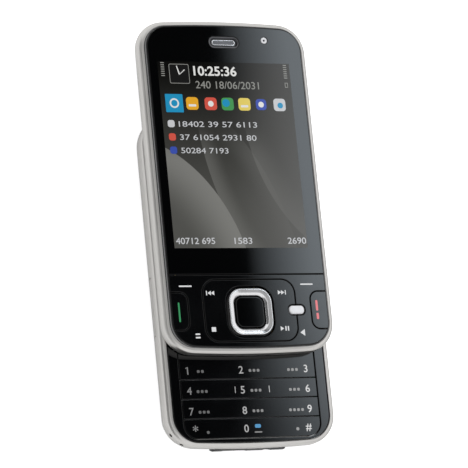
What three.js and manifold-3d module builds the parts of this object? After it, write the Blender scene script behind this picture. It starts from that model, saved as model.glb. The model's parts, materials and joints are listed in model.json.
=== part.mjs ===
// Dual slide mobile phone, lying on its back with the slider pushed up over the number pad.
// Millimetres. +Z comes out of the screen, +Y points to the earpiece end, +X to the user's right.
// The origin is on the table, under the middle of the open phone.
import * as THREE from "three";
import { mergeVertices } from "three/addons/utils/BufferGeometryUtils.js";
import Module from "manifold-3d";

const wasm = await Module();
wasm.setup();

// Outline that the slider and the base share
const bodyWidth = 54.4;
const baseSideTuck = 0.4;
const cornerRadius = 9;
const leastCorner = 2;
const crownRadius = 360;
const sliderLength = 102;
const baseLength = 100.7;

// Heights of the stack
const baseHeight = 11.5;
const slideGap = 0.4;
const sliderHeight = 5.6;

// Length of the base that the slider uncovers at each end
const numberZoneLength = 26.7;
const mediaZoneLength = 13.6;

// Clearances
const fitGap = 0.3;
const seamGap = 0.25;
const cutOver = 1;
const mergeTolerance = 0.0001;

// Facets
const cornerSteps = 6;
const crownSteps = 6;
const keyCornerSteps = 4;
const roundSteps = 20;
const smallRoundSteps = 12;

// Metal frame of the base
const frameFoot = 4;
const frameRimSide = 1.75;
const frameRimEnd = 1.2;
const frameWallSide = 3;
const frameWallEnd = 4.4;
const shelfDrop = 1.6;
// Height share, then side and end inset as shares of the side rim
const frameProfileShares = [
  [0, 0.7, 1.5],
  [0.27, 0.2, 0.46],
  [0.53, 0, 0],
  [0.76, 0, 0],
  [0.9, 0.15, 0.15],
  [0.98, 0.4, 0.34],
  [1, 0.55, 0.46],
];

// Back shell under the frame, split into the battery cover and the camera housing
const backWall = 1;
const shellWall = 1.1;
const shellReach = 8.2;
const coverSplitFromTop = 37.1;
// Height share, then side and end inset as shares of the shell's reach
const shellProfileShares = [
  [0, 1, 1],
  [0.07, 0.8, 0.9],
  [0.27, 0.56, 0.69],
  [0.6, 0.33, 0.49],
  [1, 0.18, 0.35],
];

// Chassis and main board of the base
const chassisBottom = 7.2;
const chassisThickness = 0.7;
const boardThickness = 0.8;
const boardTopMargin = 30;

// Battery in its bay
const batterySideMargin = 8.2;
const batteryEndMargin = 12.5;
const batteryHeight = 4.6;
const batteryCorner = 1.5;
const batteryFromSplit = 1.6;
const bayWall = 0.8;
const bayWallDepth = 4.6;

// Number pad
const rowCount = 4;
const rowPitch = 5.8;
const numberFieldSideMargin = 5.6;
const numberFieldMargin = 2.85;
const numberFieldCorner = 4;
const numberFieldTopCorner = 0.6;
const plateThickness = 1.1;
const plateSink = 0.15;
const rowSink = 0.25;
const rowThickness = 1.35;
const padKeyTravel = 0.3;
const domeSheetThickness = 0.2;
const firstRowTuck = 1.85;

// Media keys at the base's upper end
const mediaKeyCount = 4;
const mediaKeySideMargin = 6.4;
const mediaKeyGap = 0.8;
const mediaKeyLength = 5.6;
const mediaKeyMargin = 2.9;
const mediaKeyCorner = 1.2;
const mediaPanelOverlap = 0.2;
const mediaPedestalHeight = 1.3;

// Slide plate and the two shoes that hold the slider
const slidePlateThickness = 1;
const slidePlateSink = 0.3;
const shoeSideMargin = 8.2;
const shoeLength = 20;
const shoeEndMargin = 4.9;
const shoeEndLead = 0.1;
const shoeNeckWidth = 2.2;
const shoeHeadWidth = 4.6;
const shoeHeadHeight = 0.5;

// Camera, lamp and stand on the back
const cameraFromTop = 22.6;
const standSideMargin = 10.7;
const standLength = 25;
const standBar = 3;
const standThickness = 1.8;
const standCorner = 4;
const standPinRadius = 0.4;
const pinClearance = 0.15;
const trayWall = 0.8;
const trayCorner = 2;
const trayFloor = 1;
const windowSink = 0.3;
const windowThickness = 1.5;
const lensRadius = 3.6;
const cameraBodySize = 10;
const cameraBodyHeight = 4;
const cameraBarrelHeight = 3;
const lampWidth = 3;
const lampLength = 4.2;
const lampHeight = 1.2;
const lampFromStand = 4.9;

// Sound and vibration
const speakerWidth = 4.6;
const speakerLength = 14;
const speakerHeight = 3;
const speakerCorner = 1.2;
const grilleSlotCount = 4;
const grilleSlotWidth = 0.9;
const grilleSlotLength = 3;
const grilleSlotPitch = 2.6;
const motorRadius = 1.35;
const motorLength = 10;
const motorFromSplit = 3;

// Keys on the side and the upper end
const sideKeyHeight = 2.2;
const sideKeyCentre = 8.6;
const sideKeyDepth = 2.6;
const sideKeyProud = 0.25;
const sideKeyCorner = 0.9;
const volumeKeyLength = 20;
const volumeKeyFromTop = 27.6;
const cameraKeyLength = 9;
const cameraKeyFromBottom = 22.6;
const endKeyCentreHeight = 7.6;
const powerKeyWidth = 7;
const powerKeyFromSide = 12.2;
const lockKeyWidth = 4.6;
const lockKeyFromMiddle = -2;
const lockKeyTravel = 1.5;
const upperKeyDepth = 3.6;
const upperKeyProud = 0.1;

// Audio socket at the upper end
const jackFromSide = 10.7;
const jackWidth = 5.4;
const jackHeight = 4.6;
const jackLength = 8.5;
const jackSetback = 0.8;
const jackNoseRadius = 2.3;
const jackBoreRadius = 1.8;
const jackBoreDepth = 10;
const jackCentreHeight = 6.9;
const jackMouthSetback = 1;

// Memory card, its socket and door on the left side
const doorLength = 17.1;
const doorFromBottom = 42.7;
const doorThickness = 1.2;
const doorTopHeight = 8.2;
const cardWidth = 11;
const cardLength = 14.6;
const cardThickness = 0.7;
const cardCorner = 0.8;
const socketWall = 0.5;
const socketHeight = 1.7;
const socketDepth = 16;

// SIM card on the chassis
const simWidth = 25;
const simLength = 15;
const simThickness = 0.7;
const simCornerCut = 3;
const simMargin = 0.5;

// Ports at the lower end
const portBlockWidth = 22.3;
const portBlockBottom = 3.1;
const portBlockTop = 7.6;
const portBlockDepth = 3.7;
const portLipDepth = 1.5;
const portBlockProud = 0.15;
const portBlockSlope = 0.75;
const dataSocketWidth = 7.8;
const dataSocketHeight = 2.4;
const dataSocketDepth = 5.4;
const dataSocketWall = 0.3;
const dataSocketFromMiddle = -4.5;
const dataSocketCorner = 0.7;
const chargeSocketRadius = 1.5;
const chargeBoreRadius = 1;
const chargeSocketFromMiddle = 6;
const chargeBoreDepth = 4.5;
const portCentreHeight = 5.6;

// Strap eyelet at the lower left corner
const eyeletLoopRadius = 2.2;
const eyeletBoreRadius = 0.6;
const eyeletHeight = 9;
const eyeletTurnShare = 0.25;

// Metal frame of the slider
const sliderRimSide = 2.1;
const sliderRimTop = 2.1;
const sliderRimBottom = 1.15;
const sliderWall = 3;
const lipDrop = 0.4;
const sliderShelfDrop = 1.8;
const backPlateInset = 1.5;
const backPlateThickness = 0.7;
const backPlateSink = 0.1;
// Height share, then inset as a share of the side rim
const sliderProfileShares = [
  [0, 0.24],
  [0.08, 0],
  [0.33, 0],
  [0.82, 0.27],
  [1, 0.78],
];

// Glass, display and what looks through the glass
const glassThickness = 1.5;
const glassBevel = 0.35;
const displaySideMargin = 4;
const displayTopMargin = 10.9;
const displayThickness = 1.9;
const displayAboveSeam = 3.6;
const displayDrop = 1.8;
const earSlotWidth = 9.8;
const earSlotLength = 4.3;
const earSlotMargin = 2.45;
const earBarWidth = 7.6;
const earBarLength = 1.9;
const earBarDrop = 0.6;
const earBarOffset = 0.3;
const earPlateMargin = 0.7;
const earPlateThickness = 0.3;
const receiverWidth = 12;
const receiverLength = 6;
const receiverHeight = 1.4;
const selfCameraFromSide = 14;
const selfCameraRadius = 1.6;
const selfCameraNoseRadius = 0.8;
const selfCameraNoseDrop = 0.25;
const selfCameraRaise = 0.55;

// Key pad of the slider
const keypadLength = 22.1;
const keyThickness = 1.1;
const plungerRadius = 1.5;
const plungerClearance = 0.5;
const keyBoardThickness = 0.8;
const keyBoardDrop = 2.5;
const mediaPanelSideMargin = 12.6;
const mediaPanelLength = 18.3;
const mediaPanelCorner = 4;
const mediaPanelMargin = 1.65;
const panelLegRadius = 1;
const panelLegInset = 3.4;
const callKeyWidth = 5.15;
const callKeyLength = 11.1;
const callKeyCorner = 2.4;
const callKeyMargin = 5.35;
const pillWidth = 5;
const pillLength = 2.75;
const pillCorner = 1.2;
const pillProud = 0.2;
const pillOffset = 0.3;
const softPlungerSpacing = 8;
const navRingWidthShare = 0.469;
const navRingEndMargin = 2.2;
const navDrop = 0.45;
const navRingCorner = 4.1;
const navRingThickness = 1.45;
const navRingProud = 0.7;
const navRingLip = 0.35;
const navBandSide = 2.1;
const navBandEnd = 2.1;
const navOpeningCorner = 2.4;
const navMoat = 0.8;
const navPadThickness = 0.8;
const navPadGrow = 0.4;
const selectDrop = 0.15;
const selectThickness = 1.6;

// Screws under the battery cover
const screwRadius = 1.2;
const screwLength = 1.6;
const screwSlotWidth = 0.4;
const screwSlotDepth = 0.4;
const screwInset = 6.4;
const screwFromBottom = 8.6;

// Widths and lengths that follow the body
const openTravel = sliderLength / 2 - baseLength / 2 + numberZoneLength;
const downTravel = sliderLength / 2 - baseLength / 2 + mediaZoneLength;
const numberFieldWidth = bodyWidth - 2 * numberFieldSideMargin;
const mediaRowWidth = bodyWidth - 2 * mediaKeySideMargin;
const mediaKeyPitch = (mediaRowWidth + mediaKeyGap) / mediaKeyCount;
const mediaKeyWidth = mediaKeyPitch - mediaKeyGap;
const batteryWidth = bodyWidth - 2 * batterySideMargin;
const shoeSpacing = bodyWidth - 2 * shoeSideMargin;
const standWidth = bodyWidth - 2 * standSideMargin;
const displayWidth = bodyWidth - 2 * displaySideMargin;
const mediaPanelWidth = bodyWidth - 2 * mediaPanelSideMargin;
const navRingWidth = mediaPanelWidth * navRingWidthShare;
const navRingLength = mediaPanelLength - 2 * navRingEndMargin;
const navOpeningWidth = navRingWidth - 2 * navBandSide;
const navOpeningLength = navRingLength - 2 * navBandEnd;

// Places that follow from the sizes
const overallLength = sliderLength / 2 + openTravel + baseLength / 2;
const sliderY = overallLength / 2 - sliderLength / 2;
const baseY = baseLength / 2 - overallLength / 2;
const halfWidth = bodyWidth / 2;
const baseHalfWidth = halfWidth - baseSideTuck;
const baseTopEnd = baseLength / 2;
const baseBottomEnd = -baseLength / 2;
const sliderTopEnd = sliderLength / 2;
const sliderBottomEnd = -sliderLength / 2;
const sliderFloor = baseHeight + slideGap;
const faceTop = sliderFloor + sliderHeight;
const frameHeight = baseHeight - frameFoot;
const shellHeight = frameFoot - fitGap;
const shelfHeight = baseHeight - shelfDrop;
const coverSplit = baseTopEnd - coverSplitFromTop;
const batteryBack = coverSplit - batteryFromSplit;
const batteryFront = baseBottomEnd + batteryEndMargin;
const batteryLength = batteryBack - batteryFront;
const boardBottom = chassisBottom + chassisThickness + fitGap;
const boardTop = boardBottom + boardThickness;
const batteryBottom = backWall + fitGap;
const batteryTop = batteryBottom + batteryHeight;
const batteryY = (batteryBack + batteryFront) / 2;
const cameraY = baseTopEnd - cameraFromTop;
const numberFieldBottom = baseBottomEnd + numberFieldMargin;
const doorY = baseBottomEnd + doorFromBottom;
const rowsTopLine = numberFieldBottom + rowCount * rowPitch;
const numberFieldTop = baseBottomEnd + numberZoneLength + firstRowTuck;
const numberFieldY = (numberFieldBottom + numberFieldTop) / 2;
const numberFieldLength = numberFieldTop - numberFieldBottom;
const plateTop = baseHeight - plateSink;
const plateBottom = plateTop - plateThickness;
const rowTop = baseHeight - rowSink;
const rowBottom = rowTop - rowThickness;
const shoeStart = sliderBottomEnd + openTravel + shoeEndMargin;
const slidePlateStart = shoeStart - shoeEndLead;
const surroundTopEdge = slidePlateStart - fitGap;
const mediaPanelEdge = baseTopEnd - mediaZoneLength - mediaPanelOverlap;
const mediaKeyY = mediaPanelEdge + mediaKeyMargin + mediaKeyLength / 2;
const slidePlateTop = baseHeight - slidePlateSink;
const backPlateBottom = sliderFloor + backPlateSink;
const backPlateTop = backPlateBottom + backPlateThickness;
const shoeHeadBottom = backPlateTop + fitGap;
const sliderShelf = faceTop - sliderShelfDrop;
const seamY = sliderBottomEnd + sliderRimBottom + seamGap + keypadLength;
const mediaPanelY = seamY - mediaPanelMargin - mediaPanelLength / 2;
const navY = mediaPanelY - navDrop;
const callKeyY = seamY - callKeyMargin - callKeyLength / 2;
const pillX = mediaPanelWidth / 2 + pillOffset;
const keyBottom = faceTop - keyThickness;
const keyBoardTop = faceTop - keyBoardDrop;
const plungerBottom = keyBoardTop + plungerClearance;
const earSlotY = sliderTopEnd - sliderRimTop - seamGap - earSlotMargin - earSlotLength / 2;
const displayTop = faceTop - displayDrop;
const displaySpan = [seamY + displayAboveSeam, sliderTopEnd - displayTopMargin];
const selfCameraFromMiddle = halfWidth - selfCameraFromSide;
const jackFromMiddle = halfWidth - jackFromSide;
const powerKeyFromMiddle = powerKeyFromSide - halfWidth;

// Finishes
function finish(color, roughness, metalness) {
  return new THREE.MeshStandardMaterial({ color, roughness, metalness });
}
const finishes = {
  silver: finish(0xc9c7c2, 0.32, 0.55),
  chrome: finish(0xe2e3e6, 0.16, 0.9),
  glossBlack: finish(0x0b0c0e, 0.12, 0.1),
  keyBlack: finish(0x15171a, 0.2, 0.1),
  backBlack: finish(0x1c1d20, 0.35, 0.1),
  satinBlack: finish(0x24262a, 0.5, 0.3),
  pearl: finish(0xe6e7ea, 0.3, 0.2),
  steel: finish(0x8d9095, 0.38, 0.85),
  board: finish(0x1f5a3c, 0.6, 0),
  screen: finish(0x3c3f40, 0.2, 0),
  plastic: finish(0x2b2c2e, 0.6, 0),
  battery: finish(0xb9bbbd, 0.5, 0.1),
  gold: finish(0xc9a24a, 0.35, 0.9),
  lens: finish(0x0e1018, 0.08, 0.1),
  lamp: finish(0xeceadc, 0.3, 0),
};

// Turns a closed geometry into a solid that can be joined and cut.
function solid(geometry) {
  const loose = geometry.index ? geometry.toNonIndexed() : geometry;
  const bare = new THREE.BufferGeometry();
  bare.setAttribute("position", loose.getAttribute("position"));
  const merged = mergeVertices(bare, mergeTolerance);
  const mesh = new wasm.Mesh({
    numProp: 3,
    vertProperties: merged.attributes.position.array,
    triVerts: new Uint32Array(merged.index.array),
  });
  return new wasm.Manifold(mesh);
}

function join(first, ...others) {
  return others.reduce((sum, other) => sum.add(other), first);
}

function cut(first, ...others) {
  return others.reduce((rest, other) => rest.subtract(other), first);
}

// Box between two values along each axis.
function block([x0, x1], [y0, y1], [z0, z1]) {
  const geometry = new THREE.BoxGeometry(x1 - x0, y1 - y0, z1 - z0);
  geometry.translate((x0 + x1) / 2, (y0 + y1) / 2, (z0 + z1) / 2);
  return solid(geometry);
}

// Span of a length about a middle.
function about(middle, length) {
  return [middle - length / 2, middle + length / 2];
}

function grow([low, high], gap) {
  return [low - gap, high + gap];
}

// Round bar along an axis, centred at a point.
function bar(axis, radius, length, [x, y, z], steps = roundSteps) {
  const geometry = new THREE.CylinderGeometry(radius, radius, length, steps);
  if (axis === "x") geometry.rotateZ(Math.PI / 2);
  if (axis === "z") geometry.rotateX(Math.PI / 2);
  geometry.translate(x, y, z);
  return solid(geometry);
}

function arc(x, y, radius, from, to, steps) {
  return new THREE.EllipseCurve(x, y, radius, radius, from, to).getPoints(steps);
}

// Rounded rectangle, counter-clockwise from its right side.
function roundedRing({ x = 0, y = 0, width, length, corner }, inset = 0) {
  const right = width / 2 - corner;
  const up = length / 2 - corner;
  const radius = corner - inset;
  const quarter = Math.PI / 2;
  const middles = [[right, up], [-right, up], [-right, -up], [right, -up]];
  return middles.flatMap(([cx, cy], turn) =>
    arc(x + cx, y + cy, radius, turn * quarter, (turn + 1) * quarter, keyCornerSteps),
  );
}

// Outline of the phone's body: straight sides, round corners and crowned ends.
function bodyRing(length, sideInset, endInset) {
  const corner = Math.max(cornerRadius - Math.min(sideInset, endInset), leastCorner);
  const crown = crownRadius - endInset;
  const crownY = length / 2 - crownRadius;
  const cornerX = halfWidth - sideInset - corner;
  const cornerY = crownY + Math.sqrt((crown - corner) ** 2 - cornerX ** 2);
  const turn = Math.atan2(cornerY - crownY, cornerX);
  const upper = [
    ...arc(cornerX, cornerY, corner, 0, turn, cornerSteps),
    ...arc(0, crownY, crown, turn, Math.PI - turn, crownSteps).slice(1, -1),
    ...arc(-cornerX, cornerY, corner, Math.PI - turn, Math.PI, cornerSteps),
  ];
  const lower = upper.map((point) => new THREE.Vector2(-point.x, -point.y));
  return [...upper, ...lower];
}

// The base's outline: a little narrower than the slider's.
function baseRing(sideInset, endInset) {
  return bodyRing(baseLength, baseSideTuck + sideInset, endInset);
}

// The slider's face: the body's outline, drawn in by its own rim at each side and end.
function faceRing(gap) {
  const endInset = (sliderRimTop + sliderRimBottom) / 2 + gap;
  const shift = (sliderRimBottom - sliderRimTop) / 2;
  const ring = bodyRing(sliderLength, sliderRimSide + gap, endInset);
  return ring.map((point) => new THREE.Vector2(point.x, point.y + shift));
}

// Closed skin over rings of equal point counts, each at its own height.
function loft(rings, heights) {
  const count = rings[0].length;
  const positions = rings.flatMap((ring, level) =>
    ring.flatMap((point) => [point.x, point.y, heights[level]]),
  );
  const faces = [];
  for (let level = 0; level + 1 < rings.length; level++) {
    for (let i = 0; i < count; i++) {
      const here = level * count + i;
      const next = level * count + ((i + 1) % count);
      faces.push(here, next, next + count);
      faces.push(here, next + count, here + count);
    }
  }
  const last = (rings.length - 1) * count;
  for (const [a, b, c] of THREE.ShapeUtils.triangulateShape(rings[0], [])) {
    faces.push(c, b, a);
    faces.push(last + a, last + b, last + c);
  }
  const geometry = new THREE.BufferGeometry();
  geometry.setAttribute("position", new THREE.Float32BufferAttribute(positions, 3));
  geometry.setIndex(faces);
  return solid(geometry);
}

function prism(ring, [low, high]) {
  return loft([ring, ring], [low, high]);
}

// Rounded block whose upper edge is bevelled.
function keyCap(outline, [low, high], bevel = 0) {
  if (bevel === 0) return prism(roundedRing(outline), [low, high]);
  const side = roundedRing(outline);
  return loft([side, side, roundedRing(outline, bevel)], [low, high - bevel, high]);
}

function grownOutline(outline, gap) {
  return {
    ...outline,
    width: outline.width + 2 * gap,
    length: outline.length + 2 * gap,
    corner: outline.corner + gap,
  };
}

// Groups: the base stays, the slider moves up and down over it
const phone = new THREE.Group();
const base = new THREE.Group();
base.position.y = baseY;
const slider = new THREE.Group();
slider.position.y = sliderY;
phone.add(base, slider);

function place(group, name, shape, material) {
  const { vertProperties, triVerts } = shape.getMesh();
  const geometry = new THREE.BufferGeometry();
  geometry.setAttribute("position", new THREE.BufferAttribute(vertProperties, 3));
  geometry.setIndex(new THREE.BufferAttribute(triVerts, 1));
  geometry.computeVertexNormals();
  const mesh = new THREE.Mesh(geometry, material);
  mesh.name = name;
  group.add(mesh);
  return mesh;
}

// Base: outline of the number pad, shared by the frame, the keys and their surround

const numberField = {
  y: numberFieldY,
  width: numberFieldWidth,
  length: numberFieldLength,
  corner: numberFieldCorner,
};
const fieldUpperEnd = [numberFieldTop - numberFieldCorner - cutOver, numberFieldTop];

// Number field: round lower corners, nearly square upper ones.
function fieldPrism(gap, heights) {
  const upper = {
    y: (fieldUpperEnd[0] + fieldUpperEnd[1]) / 2,
    width: numberFieldWidth,
    length: fieldUpperEnd[1] - fieldUpperEnd[0],
    corner: numberFieldTopCorner,
  };
  return join(
    prism(roundedRing(grownOutline(numberField, gap)), heights),
    prism(roundedRing(grownOutline(upper, gap)), heights),
  );
}

// Base: outer skins

const frameSkin = loft(
  frameProfileShares.map(([, side, end]) =>
    baseRing(side * frameRimSide, end * frameRimSide),
  ),
  frameProfileShares.map(([up]) => frameFoot + up * frameHeight),
);

function basePrism(gap, heights) {
  return prism(baseRing(frameWallSide + gap, frameWallEnd + gap), heights);
}

// Everything that lies in the frame's upper opening starts from this outline.
function padPrism(gap, heights) {
  return prism(baseRing(frameRimSide + gap, frameRimEnd + gap), heights);
}

const wholeWidth = about(0, bodyWidth + cutOver);
const doorSpan = about(doorY, doorLength);
const doorHeights = [frameFoot - cutOver, doorTopHeight];
const doorInner = -baseHalfWidth + doorThickness;

function doorRegion(gap) {
  const across = [-baseHalfWidth - cutOver, doorInner + gap];
  return block(across, grow(doorSpan, gap), grow(doorHeights, gap));
}

const cardY = doorY;
const socketMouth = -baseHalfWidth + frameWallSide + fitGap;
const socketX = [socketMouth, socketMouth + socketDepth];
const socketHeights = [batteryTop + fitGap, batteryTop + fitGap + socketHeight];
const cardMiddle = (socketHeights[0] + socketHeights[1]) / 2;
const cardSlotSpan = grow(about(cardY, cardWidth), fitGap);
const cardSlotHeights = grow(about(cardMiddle, cardThickness), fitGap);

const volumeSpan = about(baseTopEnd - volumeKeyFromTop, volumeKeyLength);
const cameraKeySpan = about(baseBottomEnd + cameraKeyFromBottom, cameraKeyLength);
const sideKeyHeights = about(sideKeyCentre, sideKeyHeight);
const sideKeyOuter = baseHalfWidth + sideKeyProud;
const sideKeyX = [sideKeyOuter - sideKeyDepth, sideKeyOuter];
const powerSpan = about(powerKeyFromMiddle, powerKeyWidth);
const lockSpan = about(lockKeyFromMiddle, lockKeyWidth);
const lockSlotSpan = [lockSpan[0], lockSpan[1] + lockKeyTravel];
const upperKeyHeights = about(endKeyCentreHeight, sideKeyHeight);
const upperKeyY = [baseTopEnd + upperKeyProud - upperKeyDepth, baseTopEnd + upperKeyProud];
const portSpan = about(0, portBlockWidth);

function sideSlot(span) {
  return block([baseHalfWidth - frameWallSide - cutOver, baseHalfWidth + cutOver], grow(span, fitGap),
    grow(sideKeyHeights, fitGap));
}

function upperSlot(span) {
  return block(grow(span, fitGap), [baseTopEnd - frameWallEnd - cutOver, baseTopEnd + cutOver],
    grow(upperKeyHeights, fitGap));
}

// Curved strap hole through the lower left corner, both mouths on the outer face.
function strapHole() {
  const angle = Math.PI + eyeletTurnShare * Math.PI;
  const middleX = -(baseHalfWidth - cornerRadius) + cornerRadius * Math.cos(angle);
  const middleY = baseBottomEnd + cornerRadius + cornerRadius * Math.sin(angle);
  const hole = new THREE.TorusGeometry(eyeletLoopRadius, eyeletBoreRadius, smallRoundSteps, roundSteps);
  hole.translate(middleX, middleY, eyeletHeight);
  return solid(hole);
}

const frameHollow = join(
  basePrism(0, [frameFoot - cutOver, shelfHeight + cutOver]),
  padPrism(0, [shelfHeight, baseHeight + cutOver]),
);

const jackNoseHole = bar("y", jackNoseRadius + fitGap, frameWallEnd * 2 + cutOver,
  [jackFromMiddle, baseTopEnd, jackCentreHeight]);

const portOpening = block(
  grow(portSpan, fitGap),
  [baseBottomEnd - cutOver, baseBottomEnd + frameWallEnd + cutOver],
  [frameFoot - cutOver, portBlockTop + fitGap],
);

const cardMouth = block(
  [-baseHalfWidth, -baseHalfWidth + frameWallSide + cutOver],
  cardSlotSpan,
  cardSlotHeights,
);

const baseFrame = cut(
  frameSkin,
  frameHollow,
  doorRegion(fitGap),
  cardMouth,
  sideSlot(volumeSpan),
  sideSlot(cameraKeySpan),
  upperSlot(powerSpan),
  upperSlot(lockSlotSpan),
  jackNoseHole,
  portOpening,
  strapHole(),
  fieldPrism(fitGap, [rowBottom - padKeyTravel - fitGap, baseHeight]),
);
place(base, "base_frame", baseFrame, finishes.silver);

const doorShape = frameSkin.intersect(doorRegion(0));
place(base, "card_door", doorShape, finishes.silver);

// Base: back shell

function shellSkin(wall, bottom) {
  const height = shellHeight - bottom;
  return loft(
    shellProfileShares.map(([, side, end]) =>
      baseRing(side * shellReach + wall, end * shellReach + wall),
    ),
    shellProfileShares.map(([up]) => bottom + up * height),
  );
}

const shellLid = prism(
  baseRing(
    shellProfileShares.at(-1)[1] * shellReach + shellWall,
    shellProfileShares.at(-1)[2] * shellReach + shellWall,
  ),
  [shellHeight, shellHeight + cutOver],
);
const shell = cut(shellSkin(0, 0), shellSkin(shellWall, backWall), shellLid);

const belowSplit = block(
  wholeWidth,
  [baseBottomEnd - cutOver, coverSplit - fitGap / 2],
  [-cutOver, frameFoot],
);
const aboveSplit = block(
  wholeWidth,
  [coverSplit + fitGap / 2, baseTopEnd + cutOver],
  [-cutOver, frameFoot],
);

place(base, "battery_cover", shell.intersect(belowSplit), finishes.backBlack);

const standOutline = { y: cameraY, width: standWidth, length: standLength, corner: standCorner };
const pocketOutline = grownOutline(standOutline, fitGap);
const trayOutline = { ...grownOutline(pocketOutline, trayWall), corner: trayCorner };
const pocketDepth = standThickness + fitGap;
const trayTop = pocketDepth + trayFloor;
const standPivotX = -standWidth / 2 + standThickness / 2;
const standPinLength = standLength + 2 * fitGap + trayWall;
const standPivot = [standPivotX, cameraY, standThickness / 2];
// The pocket is square beside the hinged edge, whose lower side swings outwards as the stand opens.
const hingeRelief = block(
  grow([-standWidth / 2, standPivotX + standThickness / 2], fitGap),
  grow(about(cameraY, standLength), fitGap),
  [-cutOver, pocketDepth],
);
const lensHole = bar("z", lensRadius + fitGap, trayFloor + 2 * cutOver,
  [0, cameraY, pocketDepth + trayFloor / 2]);
const lampSpanX = about(standWidth / 2 - standBar - lampFromStand, lampWidth);
const lampSpanY = about(cameraY, lampLength);
const lampHole = block(grow(lampSpanX, fitGap), grow(lampSpanY, fitGap),
  [pocketDepth - cutOver, trayTop + cutOver]);
const standPinHole = bar("y", standPinRadius + pinClearance, standPinLength + fitGap,
  standPivot, smallRoundSteps);

const speakerX = (trayOutline.width / 2 + baseHalfWidth - frameWallSide) / 2;
function grille(side) {
  const slots = [];
  for (let i = 0; i < grilleSlotCount; i++) {
    const y = cameraY + (i - (grilleSlotCount - 1) / 2) * grilleSlotPitch;
    slots.push(block(about(side * speakerX, grilleSlotLength), about(y, grilleSlotWidth),
      [-cutOver, shellHeight]));
  }
  return slots;
}

const backHousing = cut(
  join(shell.intersect(aboveSplit), prism(roundedRing(trayOutline), [0, trayTop])),
  prism(roundedRing(pocketOutline), [-cutOver, pocketDepth]),
  hingeRelief,
  lensHole,
  lampHole,
  standPinHole,
  ...grille(1),
  ...grille(-1),
);
place(base, "back_housing", backHousing, finishes.backBlack);

// Base: stand round the camera

const standInner = {
  y: cameraY,
  width: standWidth - 2 * standBar,
  length: standLength - 2 * standBar,
  corner: standCorner - standBar / 2,
};
// The hinged edge is half round, so that it turns inside its pocket.
const hingeEdge = [-standWidth / 2 - cutOver, standPivotX];
const standSlab = keyCap(standOutline, [0, standThickness]);
const squareEdge = block(hingeEdge, grow(about(cameraY, standLength), cutOver),
  [-cutOver, standThickness + cutOver]);
const roundEdge = standSlab.intersect(
  bar("y", standThickness / 2, standLength + cutOver, standPivot),
);
const stand = cut(
  join(cut(standSlab, squareEdge), roundEdge),
  keyCap(standInner, [-cutOver, standThickness + cutOver]),
  bar("y", standPinRadius + pinClearance, standLength + cutOver, standPivot, smallRoundSteps),
);
place(base, "kickstand", stand, finishes.steel);
place(base, "kickstand_pin", bar("y", standPinRadius, standPinLength, standPivot, smallRoundSteps),
  finishes.steel);

const windowOutline = grownOutline(standInner, -fitGap);
const windowPlate = keyCap(windowOutline, [windowSink, windowSink + windowThickness]);
place(base, "camera_window", windowPlate, finishes.lens);

const cameraBodyBottom = pocketDepth + cameraBarrelHeight;
const cameraBodyTop = cameraBodyBottom + cameraBodyHeight;
const cameraModule = join(
  bar("z", lensRadius, cameraBarrelHeight + fitGap,
    [0, cameraY, pocketDepth + (cameraBarrelHeight + fitGap) / 2]),
  block(about(0, cameraBodySize), about(cameraY, cameraBodySize), [cameraBodyBottom, cameraBodyTop]),
);
place(base, "camera_module", cameraModule, finishes.plastic);
place(base, "flash_lamp", block(lampSpanX, lampSpanY, [pocketDepth, pocketDepth + lampHeight]),
  finishes.lamp);

// Base: chassis, boards and battery

const batteryOutline = { y: batteryY, width: batteryWidth, length: batteryLength, corner: batteryCorner };
const bayInner = grownOutline(batteryOutline, fitGap);
const bayOuter = grownOutline(bayInner, bayWall);
const chassisTop = chassisBottom + chassisThickness;
const jackBack = baseTopEnd - frameWallEnd - jackSetback;
const jackY = [jackBack - jackLength, jackBack];
const jackX = about(jackFromMiddle, jackWidth);
const jackHeights = about(jackCentreHeight, jackHeight);
const pedestalSpan = [mediaKeyY - mediaKeyLength / 2, baseTopEnd];
const pedestalHeights = [chassisBottom, chassisTop + mediaPedestalHeight];

const chassis = cut(
  join(
    basePrism(fitGap, [chassisBottom, chassisTop]),
    prism(roundedRing(bayOuter), [chassisBottom - bayWallDepth, chassisTop]),
    block(about(0, mediaRowWidth), pedestalSpan, pedestalHeights).intersect(
      basePrism(fitGap, pedestalHeights),
    ),
  ),
  prism(roundedRing(bayInner), [chassisBottom - bayWallDepth - cutOver, chassisBottom]),
  block(grow(about(0, cameraBodySize), fitGap), grow(about(cameraY, cameraBodySize), fitGap),
    [0, baseHeight]),
  block(grow(jackX, fitGap), [jackY[0] - fitGap, baseTopEnd], [0, baseHeight]),
  block([-baseHalfWidth, socketX[1] + fitGap], grow(about(cardY, cardWidth + 2 * socketWall), 2 * fitGap),
    [socketHeights[0] - fitGap, socketHeights[1] + fitGap]),
  block(grow(powerSpan, fitGap), [upperKeyY[0] - 2 * fitGap, baseTopEnd], grow(upperKeyHeights, fitGap)),
  block(grow(lockSlotSpan, fitGap), [upperKeyY[0] - 2 * fitGap, baseTopEnd], grow(upperKeyHeights, fitGap)),
);
place(base, "base_chassis", chassis, finishes.satinBlack);

const boardEdge = baseTopEnd - boardTopMargin;
const mainBoard = basePrism(2 * fitGap, [boardBottom, boardTop]).intersect(
  block(wholeWidth, [baseBottomEnd, boardEdge], [0, baseHeight]),
);
place(base, "main_board", mainBoard, finishes.board);
place(base, "battery", keyCap(batteryOutline, [batteryBottom, batteryTop]), finishes.battery);

const simX = [batteryWidth / 2 - simMargin - simWidth, batteryWidth / 2 - simMargin];
const simY = [batteryFront + simMargin, batteryFront + simMargin + simLength];
const simHeights = [chassisBottom - fitGap - simThickness, chassisBottom - fitGap];
function simCard() {
  const outline = [
    [simX[0], simY[0]],
    [simX[1], simY[0]],
    [simX[1], simY[1] - simCornerCut],
    [simX[1] - simCornerCut, simY[1]],
    [simX[0], simY[1]],
  ];
  return prism(outline.map(([x, y]) => new THREE.Vector2(x, y)), simHeights);
}
place(base, "sim_card", simCard(), finishes.gold);

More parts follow.
